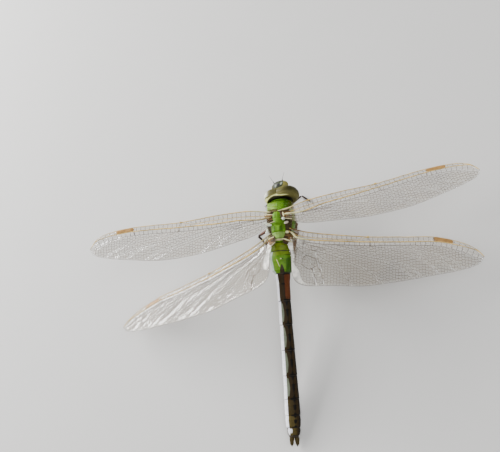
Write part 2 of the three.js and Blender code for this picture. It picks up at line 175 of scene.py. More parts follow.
# ---- Curves and frames ---------------------------------------------------------------------------------------------
def profile(*knots):
    """A smooth function through (x, value) knots, flat at each knot."""
    xs, values = np.array(knots, float).T

    def at(x):
        x = np.clip(x, xs[0], xs[-1])
        i = np.clip(np.searchsorted(xs, x, side="right") - 1, 0, len(xs) - 2)
        t = (x - xs[i]) / (xs[i + 1] - xs[i])
        return values[i] + (values[i + 1] - values[i]) * t * t * (3 - 2 * t)

    return at


def hump(x, middle, width):
    """1 at the middle, falling to nearly nothing about two widths away."""
    return np.exp(-(((x - middle) / width) ** 2))


def step(x, start, end):
    """Rises smoothly from 0 at start to 1 at end, or falls where end is the smaller."""
    t = np.clip((x - start) / (end - start), 0, 1)
    return t * t * (3 - 2 * t)


def between(x, low, high, soft):
    """1 from low to high and 0 elsewhere, with both edges softened."""
    return step(x, low - soft, low + soft) * (1 - step(x, high - soft, high + soft))


def capped(value):
    return np.clip(value, 0, 1)


def boxy(value, power):
    """A sine or cosine bent so that the round shape that it draws has fuller corners."""
    return np.sign(value) * np.abs(value) ** power


def rounded(t, power, least, top=1):
    """A share of the full width along a rod with round ends: a higher power keeps it full for longer."""
    return np.sqrt(np.clip(top - (2 * t - 1) ** power, least, 1))


def spline(points, count):
    """Evenly spaced samples of a smooth curve through points."""
    points = np.array(points, float)
    padded = np.vstack([2 * points[0] - points[1], points, 2 * points[-1] - points[-2]])
    t = np.linspace(0, len(points) - 1, 40 * len(points))
    i = np.minimum(t.astype(int), len(points) - 2)
    f = (t - i)[:, None]
    a, b, c, d = (padded[i + k] for k in range(4))
    curve = 0.5 * (2 * b + (c - a) * f + (2 * a - 5 * b + 4 * c - d) * f**2 + (3 * b - a - 3 * c + d) * f**3)
    walk = np.r_[0, np.cumsum(np.linalg.norm(np.diff(curve, axis=0), axis=1))]
    even = np.linspace(0, walk[-1], count)
    return np.stack([np.interp(even, walk, curve[:, k]) for k in range(points.shape[1])], axis=1)


def spin(axis, angle):
    return Matrix.Rotation(angle, 4, axis)


def moved(matrix, points):
    """Points in millimetres, carried by a frame whose origin is in millimetres."""
    m = np.array(matrix)
    return np.asarray(points, float) @ m[:3, :3].T + m[:3, 3]


# Tail plates from the waist to the tip: length, half width at the front, half width, half height in mm, then slope and
# twist in degrees.
TAIL = (
    (2.3, 2.6, 2.85, 2.6, 7, 2),
    (5.8, 3.0, 3.25, 2.8, 9, 8),
    (7.1, 2.1, 1.75, 1.85, 12, 18),
    (6.1, 1.65, 1.65, 1.8, 14, 26),
    (6.5, 1.66, 1.66, 1.8, 15, 30),
    (6.4, 1.74, 1.74, 1.8, 15, 30),
    (5.9, 1.82, 1.82, 1.8, 14, 30),
    (4.1, 1.95, 1.95, 1.75, 12, 30),
    (3.0, 1.95, 1.95, 1.6, 9, 30),
    (2.0, 1.7, 1.7, 1.3, 6, 30),
)
# Half width at the front, half width and half height in mm of a plate that would follow the last one.
TAIL_TIP = (1.3, 1.3, 1.1)
# Waist behind the front and below the top of the thorax's solid, in mm.
WAIST_BEHIND, WAIST_BELOW = 11.9696, 4.4664


def waist():
    """The joint of thorax and tail in mm, found from the thorax's solid and the two fore feet."""
    thorax_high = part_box("thorax")[1]
    left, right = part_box("foreleg_left_tarsus")[0].x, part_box("foreleg_right_tarsus")[1].x
    return Vector(((left + right) / 2, thorax_high.y - WAIST_BEHIND * MM, thorax_high.z - WAIST_BELOW * MM)) / MM


def thorax_frame():
    return Matrix.Translation(waist()) @ spin("X", bpy.context.scene.darner_body.thorax_pitch)


def head_frame():
    body = bpy.context.scene.darner_body
    neck = Vector((body.head_out, body.thorax_length + body.head_ahead, -body.head_drop)) / MM
    return thorax_frame() @ Matrix.Translation(neck) @ spin("X", -body.head_nod) @ spin("Y", -body.head_roll)


def thorax_skin(size, seam):
    """Smooth shell of the thorax without its relief: the x, y and z of a share along it and an angle round it."""
    width = profile((0, 1.9), (0.112, 2.9), (0.47, 3.7), (0.75, 3.6), (0.884, 3.55), (0.965, 3.4), (1, 2.9))
    top = profile((0, 2.4), (0.09, 3.15), (0.28, 3.5), (0.58, 3.6), (0.76, 2.8), (0.9, 2.0), (0.97, 1.5), (1, 1.0))
    bottom = profile((0, 2.2), (0.14, 3.6), (0.38, 5.0), (0.68, 5.3), (0.85, 4.5), (1, 2.4))

    def skin(t, angle):
        c, n = np.cos(angle), np.sin(angle)
        rise = boxy(n, 0.9) * np.where(n > 0, top(t), bottom(t))
        out = boxy(c, 0.9) * width(t) * (1 - 0.38 * np.maximum(0, n) ** 1.5)
        return out, seam + t * (size - seam), rise

    return skin


def thorax_place():
    """The frame of the thorax's shell, which leans to the left within the thorax's frame."""
    return thorax_frame() @ spin("Y", -bpy.context.scene.darner_body.thorax_roll)


def tail_frames():
    """The frame at the front of each tail plate, and the one at the tip."""
    body = bpy.context.scene.darner_body
    here = Matrix.Translation(waist() + Vector((body.tail_shift / MM, 0, 0))) @ spin("Z", body.tail_yaw)
    frames = []
    for plate_length, *_, degrees, _ in TAIL:
        slope = math.radians(degrees)
        frames.append(here @ spin("X", slope))
        here = here @ Matrix.Translation(Vector((0, -math.cos(slope), -math.sin(slope))) * plate_length)
    return frames, here


# ---- Meshes --------------------------------------------------------------------------------------------------------
def piece(name, points, faces, finish, slot, marks=None):
    """A smooth mesh object from points in mm, with nothing below the floor.

    marks holds one number per point for each pattern that the finish reads.
    """
    points = np.array(points, float)
    points[:, 2] = np.maximum(points[:, 2], 0)
    mesh = bpy.data.meshes.new(name)
    mesh.from_pydata((points * MM).tolist(), [], [tuple(face) for face in faces])
    mesh.validate()
    mesh.update()
    mesh.polygons.foreach_set("use_smooth", [True] * len(mesh.polygons))
    for mark, values in (marks or {}).items():
        layer = mesh.attributes.new(mark, "FLOAT", "POINT")
        layer.data.foreach_set("value", np.asarray(values, np.float32).ravel())
    mesh.materials.append(finish)
    made = bpy.data.objects.new(name, mesh)
    bpy.context.scene.collection.objects.link(made)
    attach(made, "root")
    return made


def shell(name, own_frame, points, faces, finish, slot, marks=None):
    """A closed piece whose points are given in a frame of its own."""
    return piece(name, moved(own_frame, points), facing_out(points, faces), finish, slot, marks)


def loft(place, along, around):
    """Rings of points from place(t, angle), with both ends closed. Gives points, faces and the (t, angle) of each."""
    t, angle = np.meshgrid(np.linspace(0, 1, along + 1), np.arange(around) * 2 * np.pi / around, indexing="ij")
    rings = place(t, angle)
    points = rings.reshape(-1, 3)
    i, j = np.meshgrid(np.arange(along), np.arange(around), indexing="ij")
    k = (j + 1) % around
    quads = np.stack([i * around + j, i * around + k, (i + 1) * around + k, (i + 1) * around + j], -1).reshape(-1, 4)
    first, last = len(points), len(points) + 1
    points = np.vstack([points, rings[0].mean(0), rings[-1].mean(0)])
    ends = [(first, (j + 1) % around, j) for j in range(around)]
    ends += [(last, along * around + j, along * around + (j + 1) % around) for j in range(around)]
    where = np.vstack([np.stack([t.ravel(), angle.ravel()], 1), [[0, np.pi / 2], [1, np.pi / 2]]])
    return points, quads.tolist() + ends, where


def ball(polar, angle):
    """Points of a ball of radius one, as x, y and z, whose poles lie ahead and behind."""
    return np.sin(polar) * np.cos(angle), np.cos(polar), np.sin(polar) * np.sin(angle)


def facing_out(points, faces):
    """Turns every face round if the shell is inside out."""
    points = np.asarray(points)
    volume = 0.0
    for face in faces:
        for k in range(1, len(face) - 1):
            volume += np.dot(points[face[0]], np.cross(points[face[k]], points[face[k + 1]]))
    return faces if volume > 0 else [tuple(reversed(face)) for face in faces]


def join(parts):
    """Several (points, faces) as one."""
    points, faces, start = [], [], 0
    for some, more in parts:
        points.append(some)
        faces += [tuple(int(v) + start for v in face) for face in more]
        start += len(some)
    return np.vstack(points), faces


def unit(directions):
    return directions / (np.linalg.norm(directions, axis=1)[:, None] + 1e-12)


def hoops(ahead, up, sides, turned=0.0):
    """For each direction ahead, the corners of a ring of radius one square to it."""
    side = unit(np.cross(ahead, up))
    top = np.cross(side, ahead)
    angle = (np.arange(sides) * 2 * np.pi / sides + turned)[None, :, None]
    return np.cos(angle) * side[:, None] + np.sin(angle) * top[:, None]


def tube(path, radii, sides=6):
    """A closed tube along a path of points, as (points, faces)."""
    path = np.asarray(path, float)
    radii = np.broadcast_to(radii, len(path)).astype(float)
    ahead = unit(np.gradient(path, axis=0))
    up = [0, 0, 1.0] if abs(ahead[:, 2]).mean() < 0.9 else [0, 1.0, 0]
    points = (path[:, None] + hoops(ahead, up, sides) * radii[:, None, None]).reshape(-1, 3)
    faces = []
    for start in range(0, len(points) - sides, sides):
        for j in range(sides):
            k = (j + 1) % sides
            faces.append((start + j, start + sides + j, start + sides + k, start + k))
    faces.append(tuple(range(sides)))
    faces.append(tuple(reversed(range(len(points) - sides, len(points)))))
    return points, faces


def copies(one, count, points_each):
    """The faces of one small part, repeated for each of its copies."""
    one = np.array(one)
    return (one[None] + np.arange(count)[:, None, None] * points_each).reshape(-1, one.shape[1]).tolist()


def rods(starts, ends, radii):
    """Many straight closed rods with four sides at once, as (points, faces)."""
    ring = hoops(unit(ends - starts), [0, 0, 1.0], 4, np.pi / 4) * radii[:, None, None]
    points = np.concatenate([starts[:, None] + ring, ends[:, None] + ring], axis=1).reshape(-1, 3)
    one = [(0, 4, 5, 1), (1, 5, 6, 2), (2, 6, 7, 3), (3, 7, 4, 0), (0, 1, 2, 3), (7, 6, 5, 4)]
    return points, copies(one, len(starts), 8)


def cones(roots, tips, radius, sides=3):
    """Many closed spikes at once, as (points, faces)."""
    ahead = unit(tips - roots)
    up = np.where(np.abs(ahead[:, 2:3]) > 0.8, [[1.0, 0, 0]], [[0, 0, 1.0]])
    ring = roots[:, None] + hoops(ahead, up, sides) * radius
    points = np.concatenate([ring, tips[:, None]], axis=1).reshape(-1, 3)
    walls = [(j, sides, (j + 1) % sides) for j in range(sides)]
    base = [(0, j, j + 1) for j in range(1, sides - 1)]
    return points, copies(walls + base, len(roots), sides + 1)


# ---- Finishes ------------------------------------------------------------------------------------------------------
class Sheet:
    """A new material and the few calls that its node tree needs."""

    def __init__(self, name):
        self.material = bpy.data.materials.new(name)
        self.material.use_nodes = True
        self.nodes = self.material.node_tree.nodes
        self.links = self.material.node_tree.links
        self.shader = self.nodes["Principled BSDF"]
        self.place = self.node("TexCoord", "Object")

    def feed(self, socket, value):
        """Links a node's output to a socket, or sets the number or colour that the socket holds."""
        if isinstance(value, bpy.types.NodeSocket):
            self.links.new(value, socket)
        elif hasattr(value, "__len__"):
            socket.default_value = (*value, 1)
        else:
            socket.default_value = value

    def node(self, kind, output, inputs=None, **options):
        """Adds a node with its options and inputs, and gives one of its outputs."""
        node = self.nodes.new(f"ShaderNode{kind}")
        for option, value in options.items():
            setattr(node, option, value)
        for socket, value in (inputs or {}).items():
            self.feed(node.inputs[socket], value)
        return node.outputs[output]

    def mark(self, name):
        return self.node("Attribute", "Fac", attribute_name=name)

    def noise(self, per_mm, detail=3, rough=0.55):
        inputs = {"Scale": per_mm / MM, "Detail": detail, "Roughness": rough, "Vector": self.place}
        return self.node("TexNoise", "Fac", inputs)

    def cells(self, per_mm):
        return self.node("TexVoronoi", "Distance", {"Scale": per_mm / MM, "Vector": self.place})

    def math(self, kind, a, b):
        return self.node("Math", 0, {0: a, 1: b}, operation=kind)

    def spread(self, value, low, high, to_low=0.0, to_high=1.0):
        inputs = {"Value": value, "From Min": low, "From Max": high, "To Min": to_low, "To Max": to_high}
        return self.node("MapRange", "Result", inputs, interpolation_type="SMOOTHSTEP")

    def mix(self, amount, a, b, kind="MIX"):
        return self.node("Mix", 2, {"Factor": amount, 6: a, 7: b}, data_type="RGBA", blend_type=kind)

    def blend(self, pattern, a, b, low=0.3, high=0.7):
        """One colour where a pattern is under low and another where it is over high."""
        return self.mix(self.spread(pattern, low, high), a, b)

    def bump(self, height, depth_mm, strength=1.0):
        inputs = {"Strength": strength, "Distance": depth_mm * MM, "Height": height}
        self.feed(self.shader.inputs["Normal"], self.node("Bump", "Normal", inputs))

    def set(self, **sockets):
        for name, value in sockets.items():
            self.feed(self.shader.inputs[name.replace("_", " ")], value)
        return self.material


def shade(rgb, factor):
    return tuple(min(1.0, c * factor) for c in rgb)


def shell_finish(name, base, marks=None, roughness=0.35, mottle=0.25, grain=0.02, coat=0.0, gloss=0.3):
    """Insect shell: a base colour with soft-edged marks over it, fine mottling and a pitted gloss.

    marks gives a colour to each mark of the mesh, from the lowest layer up. grain is the depth of the pits in mm.
    """
    sheet = Sheet(name)
    drift = sheet.noise(0.9)
    tone = sheet.blend(drift, shade(base, 1 - mottle), shade(base, 1 + mottle))
    fleck = sheet.noise(5.0, 4, 0.65)
    for mark, rgb in (marks or {}).items():
        edge = sheet.math("ADD", sheet.mark(mark), sheet.math("MULTIPLY", sheet.math("SUBTRACT", fleck, 0.5), 0.35))
        patch = sheet.blend(drift, shade(rgb, 1 - mottle), shade(rgb, 1 + mottle))
        tone = sheet.blend(edge, tone, patch)
    tone = sheet.mix(sheet.spread(fleck, 0.35, 0.75, 0, 0.22), tone, shade(base, 0.35), "MULTIPLY")
    pits = sheet.noise(14.0, 3, 0.6)
    sheet.bump(sheet.math("ADD", sheet.math("MULTIPLY", fleck, 0.6), sheet.math("MULTIPLY", pits, 0.4)), grain)
    return sheet.set(
        Base_Color=tone,
        Roughness=sheet.spread(pits, 0.25, 0.75, roughness - 0.08, roughness + 0.12),
        Specular_IOR_Level=gloss,
        Coat_Weight=coat,
        Coat_Roughness=0.22,
    )


def eye_finish(name, head):
    """Compound eye: fine facets, olive brown above and greener below, with a thin gloss."""
    sheet = Sheet(name)
    drift = sheet.noise(0.45, 2)
    facets = sheet.cells(16.0)
    tone = sheet.blend(drift, shade(head.eye_top, 0.7), shade(head.eye_top, 1.4), 0.35, 0.65)
    layers = {
        "low": head.eye_low,
        # Painted shade on the outer right of the right eye.
        "painted_shade": shade(head.eye_top, 0.3),
        "rim": (0.12, 0.11, 0.035),
        # A pale patch painted as a highlight on the outer left of the left eye.
        "painted_highlight": (0.72, 0.74, 0.62),
    }
    for mark, rgb in layers.items():
        tone = sheet.mix(sheet.mark(mark), tone, rgb)
    tone = sheet.mix(sheet.spread(facets, 0.2, 0.7, 0, 0.3), tone, shade(head.eye_top, 0.6))
    sheet.bump(facets, 0.01, 0.4)
    return sheet.set(
        Base_Color=tone, Roughness=0.5, Specular_IOR_Level=0.08, Coat_Weight=0.04, Coat_Roughness=0.15
    )


def film_finish(name, wings):
    """Wing film: clear and glossy, with faint clouds in its tint."""
    sheet = Sheet(name)
    tone = sheet.blend(sheet.noise(0.12), shade(wings.film, 1.25), shade(wings.film, 0.65), 0.35)
    sheet.bump(sheet.noise(1.6, 2), 0.03, 0.6)
    return sheet.set(
        Base_Color=tone,
        Roughness=0.12,
        IOR=2.1,
        Alpha=wings.film_alpha,
        Specular_IOR_Level=0.8,
        Coat_Weight=0.5,
        Coat_Roughness=0.1,
    )


def vein_finish(name, rgb, roughness=0.35):
    """Veins, ribs and root skin: one tone that drifts lighter and darker."""
    sheet = Sheet(name)
    tone = sheet.blend(sheet.noise(0.5), shade(rgb, 0.6), shade(rgb, 1.3))
    return sheet.set(Base_Color=tone, Roughness=roughness, Coat_Weight=0.2)


# ---- Camera and stage ----------------------------------------------------------------------------------------------
# Middle of the back from the waist, in mm: the camera looks at it.
BACK_MIDDLE = Vector((0, 5.0, 4.0))
# Sensor width in mm, and the nearest distance seen and the floor's reach to each side in metres.
SENSOR_WIDTH, NEAREST, FLOOR_REACH = 36, 0.005, 4.0
# Place, width and height in metres, then watts. Every lamp faces the insect.
LAMPS = {
    "window": ((-0.38, 0.14, 0.16), 0.34, 0.24, 3.8),
    "overhead": ((0.10, -0.08, 0.45), 0.4, 0.4, 1.2),
    "fill": ((0.38, 0.1, 0.30), 0.3, 0.3, 0.4),
    "sparkle": ((-0.30, 0.285, 0.12), 0.11, 0.08, 1.3),
}
LAMP_TARGET = Vector((0, 0, 0.01))
ROOM_LIGHT, ROOM_STRENGTH = (0.95, 0.97, 1, 1), 0.36


class DARNER_OT_camera(bpy.types.Operator):
    """Places the camera over the insect's back, tilted towards its tail and its right side"""

    bl_idname = "darner.camera"
    bl_label = "Camera"

    def execute(self, context):
        stage = context.scene.darner_stage
        view = spin("Y", stage.across) @ spin("X", stage.back) @ spin("Z", stage.spin)
        offset = view.to_3x3() @ Vector((stage.off_right, stage.off_up, -stage.distance))
        data = bpy.data.cameras.new("view")
        data.lens = stage.lens
        data.sensor_width = SENSOR_WIDTH
        data.clip_start = NEAREST
        camera = bpy.data.objects.new("view", data)
        camera.matrix_world = Matrix.Translation((waist() + BACK_MIDDLE) * MM - offset) @ view
        context.scene.collection.objects.link(camera)
        context.scene.camera = camera
        return {"FINISHED"}


class DARNER_OT_stage(bpy.types.Operator):
    """Lays a plain pale floor and hangs soft studio lights"""

    bl_idname = "darner.stage"
    bl_label = "Floor and lights"

    def execute(self, context):
        self.lay_floor(context.scene)
        for name, lamp in LAMPS.items():
            self.hang(context.scene, name, *lamp)
        world = bpy.data.worlds.new("studio")
        world.use_nodes = True
        background = world.node_tree.nodes["Background"]
        background.inputs["Color"].default_value = ROOM_LIGHT
        background.inputs["Strength"].default_value = ROOM_STRENGTH
        context.scene.world = world
        return {"FINISHED"}

    def lay_floor(self, scene):
        pale = scene.darner_stage.floor
        sheet = Sheet("floor_paint")
        sheet.set(Base_Color=sheet.blend(sheet.noise(0.05, 4), shade(pale, 0.985), pale), Roughness=0.75)
        mesh = bpy.data.meshes.new("floor")
        corners = [(FLOOR_REACH * x, FLOOR_REACH * y, 0) for x, y in ((-1, -1), (1, -1), (1, 1), (-1, 1))]
        mesh.from_pydata(corners, [], [(0, 1, 2, 3)])
        mesh.materials.append(sheet.material)
        floor = bpy.data.objects.new("floor", mesh)
        scene.collection.objects.link(floor)
        floor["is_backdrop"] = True

    def hang(self, scene, name, place, width, height, watts):
        light = bpy.data.lights.new(name, "AREA")
        light.shape = "RECTANGLE"
        light.size, light.size_y = width, height
        light.energy = watts
        lamp = bpy.data.objects.new(name, light)
        lamp.location = place
        lamp.rotation_euler = (LAMP_TARGET - Vector(place)).to_track_quat("-Z", "Y").to_euler()
        scene.collection.objects.link(lamp)


# ---- Thorax --------------------------------------------------------------------------------------------------------
# Each of these takes points of the shell as x outward, y ahead and z up, in mm.
def rear_ridge(x, y):
    return hump(y, 0.58 + 0.03 * x**2, 0.24)


def back_plates(x, y, z):
    """Plates of the back between the wings, and the trough beside them, in mm proud of the shell."""
    beside = np.abs(x)
    strip = between(np.abs(x + 0.15), -1, 1.7 - 0.2 * step(y, 5.0, 4.0), 0.2)
    first = 0.3 * between(y, 4.75, 8.4, 0.3) * (1 - 0.12 * x**2)
    first = first - 0.07 * hump(y, 6.3, 0.12) - 0.1 * hump(x, 0, 0.1) * between(y, 6.4, 8.2, 0.2)
    shield = 0.16 * np.exp(-((x / 0.8) ** 2 + ((y - 5.0) / 0.45) ** 2))
    second = 0.3 * between(y, 2.75, 4.25, 0.16) * (0.3 + 0.7 * hump(beside, 0.8, 0.5))
    third = 0.22 * between(y, 0.95, 2.5, 0.16) * (1 - 0.25 * hump(x, 0, 0.3))
    rear = 0.46 * rear_ridge(x, y) * between(beside, -1, 2.5, 0.3)
    trough = -0.42 * hump(beside, 2.3, 0.38) * between(y, 0.9, 8.8, 0.3)
    return step(z, 1.0, 2.0) * (strip * (first + shield + second + third) + rear) + step(z, 0.8, 1.8) * trough


def crest(x, y, z):
    """Pale keel and the two ridges that run out to the forewings."""
    keel = 0.7 * hump(x, 0, 0.15) * step(y, 9.1, 9.5)
    left = 0.62 * hump(y, 9.25 + 0.3 * np.abs(x), 0.26) * between(x, -3.2, 0.3, 0.2)
    right = hump(y, 8.35 + 0.4 * np.abs(x - 0.6), 0.17) * between(x, 0.4, 3.4, 0.2)
    return step(z, 0.0, 0.6) * np.maximum(0.8 * keel, left + right)


def hollow(x, y, z):
    """Groove behind the two ridges."""
    line = np.where(x < 0, 8.6 + 0.12 * np.abs(x), 7.85 + 0.35 * x)
    return hump(y, line, 0.28) * between(np.abs(x), 0.5, 3.0, 0.25) * step(z, 0.6, 1.4)


def side_seams(x, y, z):
    """Slanting grooves down each side."""
    slope = math.radians(32)
    slant = y * math.cos(slope) - z * math.sin(slope)
    side = step(np.abs(x), 1.9, 2.5) * (1 - step(z, 1.6, 2.2))
    return side * np.maximum.reduce([hump(slant, at, 0.13) for at in (7.6, 4.7, 2.4)])


def thorax_marks(x, y, z):
    """How strongly each colour shows, from 0 to 1."""
    beside, top, ahead = np.abs(x), step(z, 1.0, 2.0), step(y, 8.9, 9.4)
    beside_middle = hump(x, -0.7, 0.42) + hump(x, 1.1, 0.48)
    joints = 0.6 * hump(y, 4.5, 0.16) + 0.8 * hump(y, 2.6, 0.09) + 0.5 * hump(y, 6.3, 0.1) + 0.8 * hump(y, 0.85, 0.07)
    by_ridge = between(y, 8.1, 8.95 + 0.2 * beside, 0.12) * between(x, -2.9, 0.3, 0.2) * step(z, 0.3, 1)
    by_plate = 0.8 * between(x, 1.2, 1.7, 0.1) * between(y, 5.6, 7.8, 0.2) * top
    rear_plate = between(y, 0.7, 2.6, 0.2) * top * (1 - step(beside, 1.6, 2.0))
    grooves = 0.85 * hollow(x, y, z) * step(x, -0.1, 0.4) + 0.7 * side_seams(x, y, z)
    return {
        "pale": capped(rear_plate + 0.8 * (1 - step(z, -3.2, -2.0))),
        # Lighter green painted as light on the left of the front.
        "bright": ahead * step(z, -3, -0.5) * (1 - 0.85 * step(x, -1.3, 0.2)),
        # Deeper green on bumps of the back plates, and painted shade over the right of the front.
        "deep": capped(0.85 * ahead * step(x, 0.6, 2.4) + 0.8 * between(y, 2.85, 4.15, 0.12) * beside_middle * top),
        # Dark brown wing-root skin down both sides of the back, laid wider than the real skin so that it also stands as
        # painted shade there.
        "skin": capped(between(beside, 1.95, 3.9, 0.15) * step(z, 0.3, 1.2) * between(y, 0.7, 8.7, 0.25)),
        # Darker olive in the hollow behind the left ridge, with painted shade along the right of the front and of the
        # first back plate.
        "tan": capped(by_ridge + by_plate + 0.55 * ahead * step(x, 2.0, 3.0)),
        "suture": capped(grooves + top * between(beside, -1, 1.8, 0.2) * 0.7 * joints),
        "cream": capped(
            (0.65 + 0.35 * step(x, 0.1, 0.8)) * crest(x, y, z) + rear_ridge(x, y) * top * between(beside, -1, 2.5, 0.2)
        ),
    }


class DARNER_OT_thorax(bpy.types.Operator):
    """Builds the thorax with its keel, wing ridges, back plates and side seams, and the collar"""

    bl_idname = "darner.thorax"
    bl_label = "Thorax"

    def execute(self, context):
        body = context.scene.darner_body
        size, seam = body.thorax_length / MM, body.seam / MM
        skin = thorax_skin(size, seam)

        def place(t, angle):
            x, y, z = skin(t, angle)
            proud = back_plates(x, y, z) + 0.16 * crest(x, y, z) - 0.28 * hollow(x, y, z) - 0.1 * side_seams(x, y, z)
            length = np.hypot(x, z) + 1e-6
            return np.stack([x + proud * x / length * 0.5, y, z + proud * z / length], -1)

        points, faces, _ = loft(place, 260, 220)
        layers = {
            "pale": (0.19, 0.32, 0.06),
            "bright": body.bright,
            "deep": (0.045, 0.115, 0.003),
            "skin": (0.05, 0.035, 0.012),
            "tan": (0.06, 0.05, 0.003),
            "suture": body.suture,
            "cream": body.cream,
        }
        finish = shell_finish("thorax_shell", body.green, layers, roughness=0.5, mottle=0.2, gloss=0.16)
        marks = thorax_marks(*points.T)
        thorax = shell("thorax_shell", thorax_place(), points, faces, finish, "thorax_green", marks)
        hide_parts("thorax")
        self.collar(body.neck / MM, size + seam, finish)
        self.soft_skin(size)
        return {"FINISHED"}

    def collar(self, neck, start, finish):
        girth = profile((0, 2.35), (0.5, 2.15), (1, 1.2))

        def place(t, angle):
            wide = girth(t) + 0.1 * hump(t, 0.28, 0.12)
            c, n = np.cos(angle), np.sin(angle)
            return np.stack([0.4 * t + wide * c, start + neck * t, -0.6 + wide * n * np.where(n > 0, 0.85, 1.1)], -1)

        points, faces, where = loft(place, 30, 60)
        marks = dict.fromkeys(("pale", "bright", "skin", "tan", "cream"), np.zeros(len(points)))
        marks["suture"] = step(where[:, 0], 0.6, 0.9)
        # Painted shade on the right of the collar.
        marks["deep"] = 0.8 * step(points[:, 0], 0.2, 1.6)
        collar = shell("collar", thorax_frame(), points, faces, finish, "thorax_green", marks)
        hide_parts("prothorax")

    def soft_skin(self, size):
        """Soft dark skin inside the neck and the waist, which shows in their gaps."""
        neck = tube([(0, size - 0.6, -0.5), (0.3, size + 0.5, -0.5), (0.8, size + 1.2, -0.5)], [1.3, 1.2, 1.1], 24)
        waist_skin = tube([(0, 1.2, 0), (-0.1, 0.1, 0), (-0.2, -0.5, -0.05)], [1.5, 1.7, 1.6], 28)
        points, faces = join([(points, facing_out(points, faces)) for points, faces in (neck, waist_skin)])
        finish = shell_finish("soft_skin", (0.035, 0.024, 0.012), roughness=0.6, mottle=0.3)
        piece("soft_skin", moved(thorax_frame(), points), faces, finish, "thorax_green")


